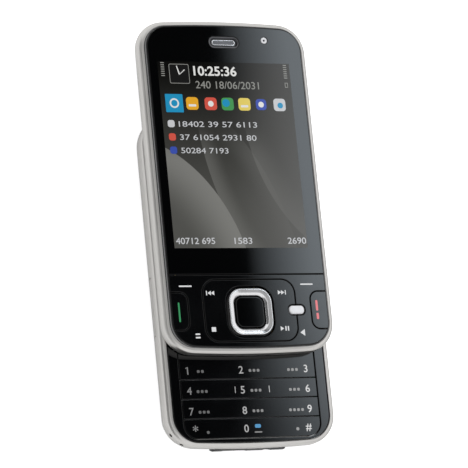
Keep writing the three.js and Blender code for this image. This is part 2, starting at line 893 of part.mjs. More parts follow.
const cardSocket = cut(
  block(socketX, about(cardY, cardWidth + 2 * fitGap + 2 * socketWall), socketHeights),
  block([socketX[0] - cutOver, socketX[1] - socketWall], cardSlotSpan, cardSlotHeights),
);
place(base, "card_socket", cardSocket, finishes.steel);
const cardOutline = {
  x: socketX[0] + cardLength / 2,
  y: cardY,
  width: cardLength,
  length: cardWidth,
  corner: cardCorner,
};
place(base, "memory_card", keyCap(cardOutline, about(cardMiddle, cardThickness)), finishes.plastic);

function screwAt(x, y) {
  const top = chassisBottom - fitGap;
  const head = bar("z", screwRadius, screwLength, [x, y, top - screwLength / 2], smallRoundSteps);
  const low = top - screwLength;
  return cut(head, block(about(x, 2 * screwRadius + cutOver), about(y, screwSlotWidth),
    [low - cutOver, low + screwSlotDepth]));
}
for (const [name, side] of [["left", -1], ["right", 1]]) {
  const screw = screwAt(side * (baseHalfWidth - screwInset), baseBottomEnd + screwFromBottom);
  place(base, `base_screw_${name}`, screw, finishes.steel);
}

// Base: sound, vibration and sockets

for (const [name, side] of [["left", -1], ["right", 1]]) {
  const outline = {
    x: side * speakerX,
    y: cameraY,
    width: speakerWidth,
    length: speakerLength,
    corner: speakerCorner,
  };
  const heights = [chassisBottom - fitGap - speakerHeight, chassisBottom - fitGap];
  place(base, `speaker_${name}`, keyCap(outline, heights), finishes.plastic);
}
const motorPlace = [0, coverSplit + motorFromSplit, chassisBottom - fitGap - motorRadius];
place(base, "vibration_motor", bar("x", motorRadius, motorLength, motorPlace), finishes.steel);

const jackMouth = baseTopEnd - jackMouthSetback;
const jackNoseLength = jackMouth - jackY[1];
const audioSocket = cut(
  join(
    block(jackX, jackY, jackHeights),
    bar("y", jackNoseRadius, jackNoseLength + fitGap,
      [jackFromMiddle, jackMouth - (jackNoseLength + fitGap) / 2, jackCentreHeight]),
  ),
  bar("y", jackBoreRadius, jackBoreDepth + cutOver,
    [jackFromMiddle, jackMouth - (jackBoreDepth - cutOver) / 2, jackCentreHeight], smallRoundSteps),
);
place(base, "audio_socket", audioSocket, finishes.plastic);

const portOuter = baseBottomEnd - portBlockProud;
const portInner = baseBottomEnd + portBlockDepth;
const portLipInner = portOuter + portBlockSlope + portLipDepth;
const portFootOuter = portOuter + portBlockSlope;
// Side profile as y and z, widest at its upper edge, leaning in towards the back.
const portProfile = [
  [portOuter, portBlockTop],
  [portOuter, portCentreHeight],
  [portFootOuter, portBlockBottom],
  [portLipInner, portBlockBottom],
  [portLipInner, frameFoot],
  [portInner, frameFoot],
  [portInner, portBlockTop],
];
const portShape = new THREE.Shape(portProfile.map(([y, z]) => new THREE.Vector2(y, z)));
const portExtrusion = new THREE.ExtrudeGeometry(portShape, { depth: portBlockWidth, bevelEnabled: false });
portExtrusion.rotateX(Math.PI / 2);
portExtrusion.rotateZ(Math.PI / 2);
portExtrusion.translate(-portBlockWidth / 2, 0, 0);

const dataOutline = {
  x: dataSocketFromMiddle,
  y: portCentreHeight,
  width: dataSocketWidth,
  length: dataSocketHeight,
  corner: dataSocketCorner,
};
// Rounded bar along Y, drawn from an outline whose y is its height.
function endwise(outline, [near, far]) {
  const geometry = new THREE.ExtrudeGeometry(new THREE.Shape(roundedRing(outline)),
    { depth: far - near, bevelEnabled: false });
  geometry.rotateX(Math.PI / 2);
  geometry.translate(0, far, 0);
  return solid(geometry);
}
const dataY = [baseBottomEnd + fitGap, baseBottomEnd + fitGap + dataSocketDepth];
const dataTongue = grownOutline(dataOutline, -2 * dataSocketWall);
const dataBore = grownOutline(dataOutline, -dataSocketWall);
const chargeY = (dataY[0] + dataY[1]) / 2;
const portBlock = cut(
  solid(portExtrusion),
  endwise(grownOutline(dataOutline, fitGap), [portOuter - cutOver, portInner + cutOver]),
  bar("y", chargeSocketRadius + fitGap, portBlockDepth + 2 * cutOver + portBlockProud,
    [chargeSocketFromMiddle, (portOuter + portInner) / 2, portCentreHeight]),
);
place(base, "port_block", portBlock, finishes.satinBlack);

const dataSocket = cut(
  endwise(dataOutline, dataY),
  cut(
    endwise(dataBore, [dataY[0] - cutOver, dataY[1] - dataSocketWall]),
    block(about(dataSocketFromMiddle, dataTongue.width - 2 * dataSocketWall), dataY,
      about(portCentreHeight, dataSocketWall)),
  ),
);
place(base, "data_socket", dataSocket, finishes.steel);
const chargeSocket = cut(
  bar("y", chargeSocketRadius, dataSocketDepth, [chargeSocketFromMiddle, chargeY, portCentreHeight]),
  bar("y", chargeBoreRadius, chargeBoreDepth + cutOver,
    [chargeSocketFromMiddle, dataY[0] + (chargeBoreDepth - cutOver) / 2, portCentreHeight],
    smallRoundSteps),
);
place(base, "charge_socket", chargeSocket, finishes.steel);

// Base: keys round its edge

// Rounded bar along X, drawn from an outline whose x is its place along Y and whose y is its height.
function sidewise(outline, [near, far]) {
  const geometry = new THREE.ExtrudeGeometry(new THREE.Shape(roundedRing(outline)),
    { depth: far - near, bevelEnabled: false });
  geometry.rotateX(Math.PI / 2);
  geometry.rotateZ(Math.PI / 2);
  geometry.translate(near, 0, 0);
  return solid(geometry);
}

function sideKey([low, high]) {
  const outline = {
    x: (low + high) / 2,
    y: sideKeyCentre,
    width: high - low,
    length: sideKeyHeight,
    corner: sideKeyCorner,
  };
  return sidewise(outline, sideKeyX);
}

function upperKey(middle, width) {
  const outline = { x: middle, y: endKeyCentreHeight, width, length: sideKeyHeight, corner: sideKeyCorner };
  return endwise(outline, upperKeyY);
}

place(base, "volume_key", sideKey(volumeSpan), finishes.silver);
place(base, "camera_key", sideKey(cameraKeySpan), finishes.silver);
place(base, "power_key", upperKey(powerKeyFromMiddle, powerKeyWidth), finishes.silver);
place(base, "lock_slider", upperKey(lockKeyFromMiddle, lockKeyWidth), finishes.silver);

// Base: number pad

const surround = cut(
  padPrism(seamGap, [plateBottom, plateTop]).intersect(
    block(wholeWidth, [baseBottomEnd, surroundTopEdge], [0, baseHeight]),
  ),
  fieldPrism(fitGap, [plateBottom - cutOver, plateTop + cutOver]),
);
place(base, "keypad_surround", surround, finishes.glossBlack);

for (let row = 0; row < rowCount; row++) {
  const top = row === 0 ? numberFieldTop : rowsTopLine - row * rowPitch - fitGap / 2;
  const bottom = rowsTopLine - (row + 1) * rowPitch + (row === rowCount - 1 ? 0 : fitGap / 2);
  const strip = block(wholeWidth, [bottom, top], [rowBottom - cutOver, rowTop + cutOver]);
  place(base, `number_row_${row + 1}`, fieldPrism(0, [rowBottom, rowTop]).intersect(strip),
    finishes.keyBlack);
}

const domeHeights = [boardTop, boardTop + domeSheetThickness];
const domeSheet = fieldPrism(-fitGap, domeHeights).intersect(basePrism(fitGap, domeHeights));
place(base, "number_dome_sheet", domeSheet, finishes.pearl);

// Base: media keys

const mediaKeyPlaces = [];
for (let i = 0; i < mediaKeyCount; i++) {
  mediaKeyPlaces.push((i - (mediaKeyCount - 1) / 2) * mediaKeyPitch);
}
function mediaKeyOutline(x) {
  return { x, y: mediaKeyY, width: mediaKeyWidth, length: mediaKeyLength, corner: mediaKeyCorner };
}
const mediaSurround = cut(
  padPrism(seamGap, [plateBottom, plateTop]).intersect(
    block(wholeWidth, [mediaPanelEdge, baseTopEnd], [0, baseHeight]),
  ),
  ...mediaKeyPlaces.map((x) =>
    keyCap(grownOutline(mediaKeyOutline(x), fitGap), [plateBottom - cutOver, plateTop + cutOver]),
  ),
);
place(base, "media_key_surround", mediaSurround, finishes.satinBlack);
mediaKeyPlaces.forEach((x, i) => {
  place(base, `media_key_${i + 1}`, keyCap(mediaKeyOutline(x), [rowBottom, rowTop]), finishes.keyBlack);
});

// Base: slide plate and shoes

const slidePlate = padPrism(seamGap, [slidePlateTop - slidePlateThickness, slidePlateTop]).intersect(
  block(wholeWidth, [slidePlateStart, mediaPanelEdge - fitGap], [0, baseHeight]),
);
place(base, "slide_plate", slidePlate, finishes.satinBlack);

const shoeSpan = [shoeStart, shoeStart + shoeLength];
for (const [name, side] of [["left", -1], ["right", 1]]) {
  const x = (side * shoeSpacing) / 2;
  const shoe = join(
    block(about(x, shoeNeckWidth), shoeSpan, [slidePlateTop, shoeHeadBottom + shoeHeadHeight]),
    block(about(x, shoeHeadWidth), shoeSpan, [shoeHeadBottom, shoeHeadBottom + shoeHeadHeight]),
  );
  place(base, `slide_shoe_${name}`, shoe, finishes.steel);
}

// Slider: frame and back plate

const lipHeight = faceTop - lipDrop - sliderFloor;
const sliderSkin = loft(
  sliderProfileShares.map(([, inset]) =>
    bodyRing(sliderLength, inset * sliderRimSide, inset * sliderRimSide),
  ),
  sliderProfileShares.map(([up]) => sliderFloor + up * lipHeight),
);
const sliderFrame = cut(
  sliderSkin,
  prism(bodyRing(sliderLength, backPlateInset - fitGap, backPlateInset - fitGap),
    [sliderFloor - cutOver, backPlateTop + fitGap]),
  prism(bodyRing(sliderLength, sliderWall, sliderWall), [sliderFloor, sliderShelf + cutOver]),
  prism(faceRing(0), [sliderShelf, faceTop + cutOver]),
);
place(slider, "slider_frame", sliderFrame, finishes.silver);

const slotSpan = [shoeSpan[0] - openTravel - 2 * fitGap, shoeSpan[1] + downTravel + 2 * fitGap];
function railSlot(side) {
  const middle = (side * shoeSpacing) / 2;
  return block(grow(about(middle, shoeNeckWidth), fitGap), slotSpan, [sliderFloor, backPlateTop + cutOver]);
}
const backPlate = cut(
  prism(bodyRing(sliderLength, backPlateInset, backPlateInset), [backPlateBottom, backPlateTop]),
  railSlot(1),
  railSlot(-1),
);
place(slider, "slider_back_plate", backPlate, finishes.satinBlack);

// Slider: glass, display and earpiece

// The whole face as one slab, from which the glass and the keys are cut.
function faceSlab(thickness) {
  const heights = [faceTop - thickness, faceTop - glassBevel, faceTop];
  return loft([faceRing(seamGap), faceRing(seamGap), faceRing(seamGap + glassBevel)], heights);
}
const sliderHeights = [sliderFloor, faceTop + navRingProud + cutOver];
const aboveSeam = block(wholeWidth, [seamY + fitGap / 2, sliderTopEnd], sliderHeights);
const belowSeam = block(wholeWidth, [sliderBottomEnd, seamY - fitGap / 2], sliderHeights);

const earSlotCorner = earSlotLength / 2 - seamGap;
const earSlot = { y: earSlotY, width: earSlotWidth, length: earSlotLength, corner: earSlotCorner };
const selfCameraY = earSlotY + selfCameraRaise;
const frontGlass = cut(
  faceSlab(glassThickness).intersect(aboveSeam),
  keyCap(earSlot, [sliderShelf, faceTop + cutOver]),
  bar("z", selfCameraNoseRadius + fitGap, glassThickness + 2 * cutOver,
    [selfCameraFromMiddle, selfCameraY, faceTop - glassThickness / 2]),
);
place(slider, "front_glass", frontGlass, finishes.glossBlack);

const display = block(about(0, displayWidth), displaySpan, [displayTop - displayThickness, displayTop]);
place(slider, "display_module", display, finishes.screen);

const earPlateTop = faceTop - glassThickness - fitGap;
const earBarOutline = {
  y: earSlotY - earBarOffset,
  width: earBarWidth,
  length: earBarLength,
  corner: earBarLength / 2 - seamGap,
};
const earpieceBar = join(
  block(about(0, earSlotWidth + 2 * earPlateMargin), about(earSlotY, earSlotLength + 2 * earPlateMargin),
    [earPlateTop - earPlateThickness, earPlateTop]),
  keyCap(earBarOutline, [earPlateTop - earPlateThickness, faceTop - earBarDrop]),
);
place(slider, "earpiece_bar", earpieceBar, finishes.chrome);
const receiverTop = earPlateTop - earPlateThickness - fitGap;
const receiver = block(about(0, receiverWidth), about(earSlotY, receiverLength),
  [receiverTop - receiverHeight, receiverTop]);
place(slider, "earpiece", receiver, finishes.steel);

const selfCameraTop = faceTop - glassThickness - fitGap;
const selfCameraBottom = displayTop - displayThickness;
const selfCamera = join(
  bar("z", selfCameraRadius, selfCameraTop - selfCameraBottom,
    [selfCameraFromMiddle, selfCameraY, (selfCameraTop + selfCameraBottom) / 2], smallRoundSteps),
  bar("z", selfCameraNoseRadius, faceTop - selfCameraNoseDrop - selfCameraBottom,
    [selfCameraFromMiddle, selfCameraY, (faceTop - selfCameraNoseDrop + selfCameraBottom) / 2],
    smallRoundSteps),
);
place(slider, "front_camera", selfCamera, finishes.lens);

// Slider: key pad

const panelOutline = {
  y: mediaPanelY,
  width: mediaPanelWidth,
  length: mediaPanelLength,
  corner: mediaPanelCorner,
};
const pillOutline = { x: pillX, y: mediaPanelY, width: pillWidth, length: pillLength, corner: pillCorner };
const ringOutline = { y: navY, width: navRingWidth, length: navRingLength, corner: navRingCorner };
const openingOutline = {
  y: navY,
  width: navOpeningWidth,
  length: navOpeningLength,
  corner: navOpeningCorner,
};
const faceEdge = halfWidth - sliderRimSide - seamGap;
const callKeyX = faceEdge - callKeyWidth / 2;

// The call and end keys run past the face's edge here, and the face cuts them off.
function callOutline(side) {
  return {
    x: side * (callKeyX + callKeyCorner),
    y: callKeyY,
    width: callKeyWidth + 2 * callKeyCorner,
    length: callKeyLength,
    corner: callKeyCorner,
  };
}

function plunger(x, y) {
  return bar("z", plungerRadius, keyBottom - plungerBottom + fitGap,
    [x, y, (keyBottom + fitGap + plungerBottom) / 2], smallRoundSteps);
}

const keySlab = faceSlab(keyThickness).intersect(belowSeam);
const through = [keyBottom - cutOver, faceTop + cutOver];

for (const [name, side] of [["call_key", -1], ["end_key", 1]]) {
  const cap = keySlab.intersect(prism(roundedRing(callOutline(side)), through));
  place(slider, name, join(cap, plunger(side * callKeyX, callKeyY)), finishes.keyBlack);
}

for (const [name, side] of [["left_function_key", -1], ["right_function_key", 1]]) {
  const half = [Math.min(0, side * halfWidth), Math.max(0, side * halfWidth)];
  const middleGap = block(about(0, seamGap), [sliderBottomEnd, seamY], through);
  const cap = cut(
    keySlab.intersect(block(half, [sliderBottomEnd, seamY], through)),
    prism(roundedRing(grownOutline(panelOutline, fitGap)), through),
    prism(roundedRing(grownOutline(callOutline(side), fitGap)), through),
    prism(roundedRing(grownOutline(pillOutline, fitGap)), through),
    middleGap,
  );
  const legX = (side * (mediaPanelWidth / 2 + faceEdge - callKeyWidth)) / 2;
  const upper = plunger(legX, callKeyY + softPlungerSpacing / 2);
  const lower = plunger(legX, callKeyY - softPlungerSpacing / 2);
  place(slider, name, join(cap, upper, lower), finishes.keyBlack);
}

const legPlaces = [[1, 1], [1, -1], [-1, 1], [-1, -1]].map(([right, up]) => [
  right * (mediaPanelWidth / 2 - panelLegInset),
  mediaPanelY + up * (mediaPanelLength / 2 - panelLegInset / 2),
]);
const panelBottom = faceTop - glassThickness;
const mediaPanel = join(
  cut(
    prism(roundedRing(panelOutline), [panelBottom, faceTop]),
    prism(roundedRing(grownOutline(ringOutline, navMoat)), [panelBottom - cutOver, faceTop + cutOver]),
    prism(roundedRing(grownOutline(pillOutline, fitGap)), [panelBottom - cutOver, faceTop + cutOver]),
  ),
  ...legPlaces.map(([x, y]) =>
    bar("z", panelLegRadius, panelBottom - keyBoardTop,
      [x, y, (panelBottom + keyBoardTop + 2 * fitGap) / 2], smallRoundSteps)),
);
place(slider, "media_panel", mediaPanel, finishes.keyBlack);

const pill = join(
  keyCap(pillOutline, [keyBottom, faceTop + pillProud], pillProud),
  plunger(pillX, mediaPanelY).intersect(prism(roundedRing(pillOutline), [plungerBottom, faceTop])),
);
place(slider, "multimedia_key", pill, finishes.pearl);

const navRingTop = faceTop + navRingProud;
const navRingBottom = navRingTop - navRingThickness;
const navRing = cut(
  keyCap(ringOutline, [navRingBottom, navRingTop], navRingLip),
  prism(roundedRing(openingOutline), [navRingBottom - cutOver, navRingTop + cutOver]),
);
place(slider, "nav_ring", navRing, finishes.chrome);

const navPadTop = navRingBottom - fitGap;
const navPad = cut(
  prism(roundedRing(grownOutline(ringOutline, navPadGrow)), [navPadTop - navPadThickness, navPadTop]),
  prism(roundedRing(openingOutline), [navPadTop - navPadThickness - cutOver, navPadTop + cutOver]),
);
place(slider, "nav_pad", navPad, finishes.plastic);

const selectTop = faceTop - selectDrop;
const selectKey = keyCap(grownOutline(openingOutline, -fitGap), [selectTop - selectThickness, selectTop],
  glassBevel);
place(slider, "select_key", selectKey, finishes.glossBlack);

const keyBoard = prism(
  bodyRing(sliderLength, sliderWall + fitGap, sliderWall + fitGap),
  [keyBoardTop - keyBoardThickness, keyBoardTop],
).intersect(block(wholeWidth, [sliderBottomEnd, seamY], sliderHeights));
place(slider, "key_board", keyBoard, finishes.board);

export default phone;
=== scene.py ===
"""Dual slide phone, its screen half pushed up off the number pad: shapes, finishes, prints, plain studio.

Shapes are drawn in millimetres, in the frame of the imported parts, and become metres when a piece is finished.
"""
import json
import math

import bmesh
import bpy
from mathutils import Matrix, Vector


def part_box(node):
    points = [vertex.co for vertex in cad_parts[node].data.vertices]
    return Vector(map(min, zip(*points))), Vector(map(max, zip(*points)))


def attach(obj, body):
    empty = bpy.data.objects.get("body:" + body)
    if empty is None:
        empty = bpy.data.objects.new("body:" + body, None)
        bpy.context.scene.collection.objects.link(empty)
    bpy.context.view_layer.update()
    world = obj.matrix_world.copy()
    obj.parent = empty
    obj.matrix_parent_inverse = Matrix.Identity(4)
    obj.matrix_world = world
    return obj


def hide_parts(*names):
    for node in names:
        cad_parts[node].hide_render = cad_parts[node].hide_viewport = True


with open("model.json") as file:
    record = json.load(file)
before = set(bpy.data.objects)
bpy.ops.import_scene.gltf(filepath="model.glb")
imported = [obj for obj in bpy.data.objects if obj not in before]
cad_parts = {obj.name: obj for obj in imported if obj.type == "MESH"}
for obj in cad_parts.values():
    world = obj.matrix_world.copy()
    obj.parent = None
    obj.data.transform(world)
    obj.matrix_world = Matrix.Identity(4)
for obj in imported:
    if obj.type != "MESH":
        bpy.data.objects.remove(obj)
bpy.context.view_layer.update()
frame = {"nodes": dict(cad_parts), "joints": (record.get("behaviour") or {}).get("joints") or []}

MILLIMETRE = 0.001


def span(node):
    """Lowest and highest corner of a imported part, in millimetres."""
    low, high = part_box(node)
    return low / MILLIMETRE, high / MILLIMETRE


def centre(node):
    low, high = span(node)
    return (low + high) / 2


# Shared outline of the two halves
HALF_WIDTH = span("slider_frame")[1].x
BASE_HALF_WIDTH = span("base_frame")[1].x
CORNER = 9.0
LEAST_CORNER = 2.0
CROWN = 360.0
CORNER_STEPS = 16
CROWN_STEPS = 12
KEY_CORNER_STEPS = 8

SLIDER_Y = centre("slider_frame").y
SLIDER_LENGTH = span("slider_frame")[1].y - span("slider_frame")[0].y
BASE_Y = centre("base_frame").y
BASE_LENGTH = span("base_frame")[1].y - span("base_frame")[0].y

# Heights
FACE_TOP = span("front_glass")[1].z
SLIDER_FOOT = span("slider_frame")[0].z
FRAME_FOOT = span("base_frame")[0].z
SHELL_TOP = span("battery_cover")[1].z

# Fits
SEAM = 0.25
FACE_GAP = 0.03
KEY_GAP = 0.3
OVERRUN = 1.0
WELD = 0.0005
SHARP_ANGLE = math.radians(32)
FRAME_SHARP = math.radians(24)
SOFT_SHARP = math.radians(40)
KEY_EDGE = 0.14
PRINT = 0.03

# Sections through the frames: inset at the sides, at the upper end, at the lower end, height above the foot
RIM_SIDE, RIM_UPPER, RIM_LOWER = 2.34, 2.34, 1.84
SLIDER_SECTION = [
    (0.56, 0.56, 0.3, 0.0),
    (0.3, 0.3, 0.12, 0.6),
    (0.12, 0.17, 0.03, 1.1),
    (0.03, 0.1, 0.0, 1.6),
    (0.0, 0.1, 0.0, 2.2),
    (0.05, 0.17, 0.02, 2.9),
    (0.16, 0.34, 0.05, 3.5),
    (0.35, 0.46, 0.12, 3.97),
    (0.95, 0.96, 0.62, 4.57),
    (1.08, 1.1, 0.78, 4.65),
    (1.62, 1.74, 1.44, 4.79),
    (1.66, 1.78, 1.47, 4.4),
    (RIM_SIDE, RIM_UPPER, RIM_LOWER, 4.4),
    (RIM_SIDE, RIM_UPPER, RIM_LOWER, 3.8),
    (3.0, 3.0, 3.0, 3.8),
    (3.0, 3.0, 3.0, 1.1),
    (1.2, 1.2, 1.2, 1.1),
    (1.2, 1.2, 1.2, 0.0),
]
# Black seal in the groove between the frame and the glass: a seal ring whose black is also painted shade,
# standing for the groove's shadow
SHADE_SEAL_SECTION = [
    (1.68, 1.8, 1.475, 4.42),
    (1.68, 1.8, 1.475, 4.66),
    (1.7, 1.81, 1.48, 4.7),
    (1.86, 1.83, 1.49, 4.7),
    (1.87, 1.84, 1.495, 4.66),
    (1.87, 1.84, 1.495, 4.42),
]
# Grey bead round the glass: its grey is painted highlight, standing for the light that the glass's edge catches
HIGHLIGHT_BEAD_SECTION = [
    (1.89, 1.85, 1.5, 4.42),
    (1.9, 1.855, 1.505, 5.06),
    (1.94, 1.87, 1.52, 5.19),
    (2.0, 1.88, 1.535, 5.22),
    (2.06, 1.9, 1.55, 5.18),
    (2.07, 1.91, 1.555, 4.42),
]
BEZEL_SECTION = [
    (2.09, 1.93, 1.575, 4.42),
    (2.09, 1.93, 1.575, 5.2),
    (2.12, 1.98, 1.6, 5.3),
    (2.2, 2.12, 1.68, 5.45),
    (2.32, 2.32, 1.81, 5.57),
    (2.33, 2.33, 1.83, 5.5),
    (2.33, 2.33, 1.83, 4.42),
]
BASE_SECTION = [
    (1.225, 2.62, 2.62, 0.0),
    (0.86, 1.75, 1.75, 0.6),
    (0.56, 1.15, 1.15, 1.3),
    (0.32, 0.68, 0.68, 2.1),
    (0.12, 0.28, 0.28, 3.0),
    (0.0, 0.0, 0.0, 4.0),
    (0.0, 0.0, 0.0, 5.5),
    (0.05, 0.05, 0.05, 6.05),
    (0.18, 0.14, 0.14, 6.5),
    (0.36, 0.28, 0.28, 6.8),
    (0.84, 0.62, 0.62, 7.22),
    (0.94, 0.7, 0.7, 7.28),
    (1.36, 0.94, 0.94, 7.42),
    (1.5, 1.02, 1.02, 7.46),
    (1.66, 1.12, 1.12, 7.47),
    (1.75, 1.2, 1.2, 7.36),
    (1.75, 1.2, 1.2, 5.9),
    (3.0, 4.4, 4.4, 5.9),
    (3.0, 4.4, 4.4, 0.0),
]
BASE_OUTER_RINGS = 15
SHELL_SECTION = [
    (8.2, 8.2, 0.0),
    (7.35, 7.75, 0.06),
    (6.56, 7.25, 0.22),
    (5.5, 6.4, 0.58),
    (4.6, 5.66, 1.0),
    (3.6, 4.8, 1.55),
    (2.7, 4.0, 2.22),
    (2.0, 3.4, 2.95),
    (1.476, 2.87, 3.7),
]
SHELL_WALL = 1.1
SHELL_FLOOR = 1.0


# Drawing

def arc(x, y, radius, start, end, steps):
    turns = [start + (end - start) * step / steps for step in range(steps + 1)]
    return [(x + radius * math.cos(turn), y + radius * math.sin(turn)) for turn in turns]


def rounded(x, y, width, length, corner, steps=KEY_CORNER_STEPS):
    """Rounded rectangle about a middle."""
    right, up = width / 2 - corner, length / 2 - corner
    middles = ((right, up), (-right, up), (-right, -up), (right, -up))
    points = []
    for turn, (dx, dy) in enumerate(middles):
        start = turn * math.pi / 2
        points += arc(x + dx, y + dy, corner, start, start + math.pi / 2, steps)
    return points


def rounded_box(low, high, corner, grow=0.0):
    """Rounded rectangle between two corners."""
    width, length = high[0] - low[0] + 2 * grow, high[1] - low[1] + 2 * grow
    return rounded((low[0] + high[0]) / 2, (low[1] + high[1]) / 2, width, length, corner + grow)


def body_outline(middle, length, side, upper, lower):
    """Outline of a half of the phone: straight sides, round corners, crowned ends."""
    points = []
    for turn, end in ((1, upper), (-1, lower)):
        corner = max(CORNER - min(side, end), LEAST_CORNER)
        crown = CROWN - end
        crown_y = length / 2 - CROWN
        corner_x = HALF_WIDTH - side - corner
        corner_y = crown_y + math.sqrt((crown - corner) ** 2 - corner_x ** 2)
        angle = math.atan2(corner_y - crown_y, corner_x)
        half = arc(corner_x, corner_y, corner, 0, angle, CORNER_STEPS)
        half += arc(0, crown_y, crown, angle, math.pi - angle, CROWN_STEPS)[1:-1]
        half += arc(-corner_x, corner_y, corner, math.pi - angle, math.pi, CORNER_STEPS)
        points += [(turn * x, middle + turn * y) for x, y in half]
    return points


def slider_outline(side, upper=None, lower=None):
    upper = side if upper is None else upper
    return body_outline(SLIDER_Y, SLIDER_LENGTH, side, upper, upper if lower is None else lower)


def base_outline(side, end=None):
    end = side if end is None else end
    return body_outline(BASE_Y, BASE_LENGTH, side + HALF_WIDTH - BASE_HALF_WIDTH, end, end)


# Shapes

def move(shape, *way):
    bmesh.ops.translate(shape, vec=way, verts=shape.verts)


def stretch(shape, *times):
    bmesh.ops.scale(shape, vec=times, verts=shape.verts)


def rotate(shape, angle, axis):
    bmesh.ops.rotate(shape, cent=(0, 0, 0), matrix=Matrix.Rotation(angle, 3, axis), verts=shape.verts)


def ring(shape, points, height):
    corners = [shape.verts.new((x, y, height)) for x, y in points]
    return [shape.edges.new(pair) for pair in zip(corners, corners[1:] + corners[:1])]


def skin(levels, closed=False):
    """Surface over outlines at their heights, capped at both ends or joined back to its first outline."""
    shape = bmesh.new()
    loops = [ring(shape, points, height) for points, height in levels]
    for low, high in zip(loops, loops[1:]):
        bmesh.ops.bridge_loops(shape, edges=low + high)
    if closed:
        bmesh.ops.bridge_loops(shape, edges=loops[-1] + loops[0])
    else:
        bmesh.ops.edgeloop_fill(shape, edges=loops[0])
        bmesh.ops.edgeloop_fill(shape, edges=loops[-1])
    bmesh.ops.recalc_face_normals(shape, faces=shape.faces)
    return shape


def slab(points, low, high):
    return skin([(points, low), (points, high)])


def drill(points, low, high):
    """Cutter through a piece that lies between two corners."""
    return slab(points, low.z - OVERRUN, high.z + OVERRUN)


def block(low, high):
    shape = bmesh.new()
    bmesh.ops.create_cube(shape, size=1.0)
    stretch(shape, *(Vector(high) - Vector(low)))
    move(shape, *(Vector(low) + Vector(high)) / 2)
    return shape


def turned(profile, middle, axis="Z", steps=48):
    """Round shape from a closed half section of (radius, height), about an axis through a middle."""
    shape = bmesh.new()
    corners = [shape.verts.new((radius, 0, height)) for radius, height in profile]
    edges = [shape.edges.new(pair) for pair in zip(corners, corners[1:])]
    on_axis = profile[0][0] == 0 and profile[-1][0] == 0
    if not on_axis:
        edges.append(shape.edges.new((corners[-1], corners[0])))
    bmesh.ops.spin(shape, geom=corners + edges, cent=(0, 0, 0), axis=(0, 0, 1), angle=2 * math.pi,
                   steps=steps, use_merge=True)
    bmesh.ops.remove_doubles(shape, verts=shape.verts, dist=WELD)
    bmesh.ops.recalc_face_normals(shape, faces=shape.faces)
    if axis == "X":
        rotate(shape, math.pi / 2, "Y")
    elif axis == "Y":
        rotate(shape, -math.pi / 2, "X")
    move(shape, *middle)
    return shape


def rod(radius, length, middle, axis="Z", steps=48):
    half = length / 2
    return turned([(0, -half), (radius, -half), (radius, half), (0, half)], middle, axis, steps)


def lying(points, near, far, axis):
    """Slab drawn upright: its outline runs along the phone's other level axis and upwards."""
    shape = slab(points, near, far)
    rotate(shape, math.pi / 2, "X")
    if axis == "X":
        rotate(shape, math.pi / 2, "Z")
    else:
        stretch(shape, 1, -1, 1)
    bmesh.ops.recalc_face_normals(shape, faces=shape.faces)
    return shape


def held(shape):
    """Object for one step of joining or cutting."""
    mesh = bpy.data.meshes.new("step")
    shape.to_mesh(mesh)
    shape.free()
    thing = bpy.data.objects.new("step", mesh)
    bpy.context.scene.collection.objects.link(thing)
    return thing


def combine(shape, tools, operation):
    body = held(shape)
    helpers = [held(tool) for tool in tools]
    for helper in helpers:
        step = body.modifiers.new("step", "BOOLEAN")
        step.operation = operation
        step.solver = "EXACT"
        step.object = helper
    bpy.context.view_layer.update()
    result = bmesh.new()
    result.from_object(body, bpy.context.evaluated_depsgraph_get())
    for thing in [body, *helpers]:
        mesh = thing.data
        bpy.data.objects.remove(thing)
        bpy.data.meshes.remove(mesh)
    bmesh.ops.remove_doubles(result, verts=result.verts, dist=WELD)
    bmesh.ops.recalc_face_normals(result, faces=result.faces)
    return result


def cut(shape, *tools):
    return combine(shape, tools, "DIFFERENCE")


def join(shape, *tools):
    return combine(shape, tools, "UNION")


def common(shape, tool):
    return combine(shape, [tool], "INTERSECT")


def split(shape, place, along, keep_above):
    """Part of a solid shape on one side of a plane, closed again."""
    normal = [0, 0, 0]
    normal[along] = 1
    point = [0, 0, 0]
    point[along] = place
    geometry = [*shape.verts, *shape.edges, *shape.faces]
    made = bmesh.ops.bisect_plane(shape, geom=geometry, plane_co=point, plane_no=normal, dist=WELD,
                                  clear_inner=keep_above, clear_outer=not keep_above)
    edges = [part for part in made["geom_cut"] if isinstance(part, bmesh.types.BMEdge)]
    bmesh.ops.holes_fill(shape, edges=edges, sides=0)
    bmesh.ops.recalc_face_normals(shape, faces=shape.faces)
    return shape


def soften(shape, edge, height=None, least=SOFT_SHARP, steps=3, chosen=None):
    """Rounds the sharp edges, or those that lie at one height."""
    def wanted(line):
        if line.calc_face_angle(0) < least:
            return False
        if chosen is not None and not chosen(line):
            return False
        return height is None or all(abs(corner.co.z - height) < WELD * 4 for corner in line.verts)

    lines = [line for line in shape.edges if wanted(line)]
    bmesh.ops.bevel(shape, geom=lines, offset=edge, offset_type="OFFSET", segments=steps, profile=0.5,
                    affect="EDGES", clamp_overlap=True, material=-1)
    bmesh.ops.remove_doubles(shape, verts=shape.verts, dist=WELD)
    return shape


def add_all(shape, *others):
    """Puts separate closed shapes into one."""
    for other in others:
        mesh = bpy.data.meshes.new("step")
        other.to_mesh(mesh)
        other.free()
        shape.from_mesh(mesh)
        bpy.data.meshes.remove(mesh)
    return shape


# Slot named for each finish, unless a piece names another; piece() works it out but gives it to nothing
PRINT_SLOT = "pearl_key"
SLOTS = {
    "silver": "silver_frame", "rim": "silver_frame", "steel": "steel", "plastic": "inner_plastic",
    "gold": "contact_gold", "back": "back_cover", "key": "key_black", "surround": "key_black",
    "chrome": "bright_trim", "satin_black": "inner_plastic", "lens": "camera_glass", "glass": "front_glass",
    "pearl": "pearl_key", "bead": "inner_plastic", "mesh": "inner_plastic", "dark_steel": "slide_metal",
}


def heights(section, top, foot=None):
    """Section whose falls below the top become heights. A fall of None is the foot."""
    return [(place, foot if fall is None else top - fall) for place, fall in section]


def stacked(outline, section, top, foot=None):
    """Levels of an outline that is drawn at each inset of a section."""
    return [(outline(inset), height) for inset, height in heights(section, top, foot)]


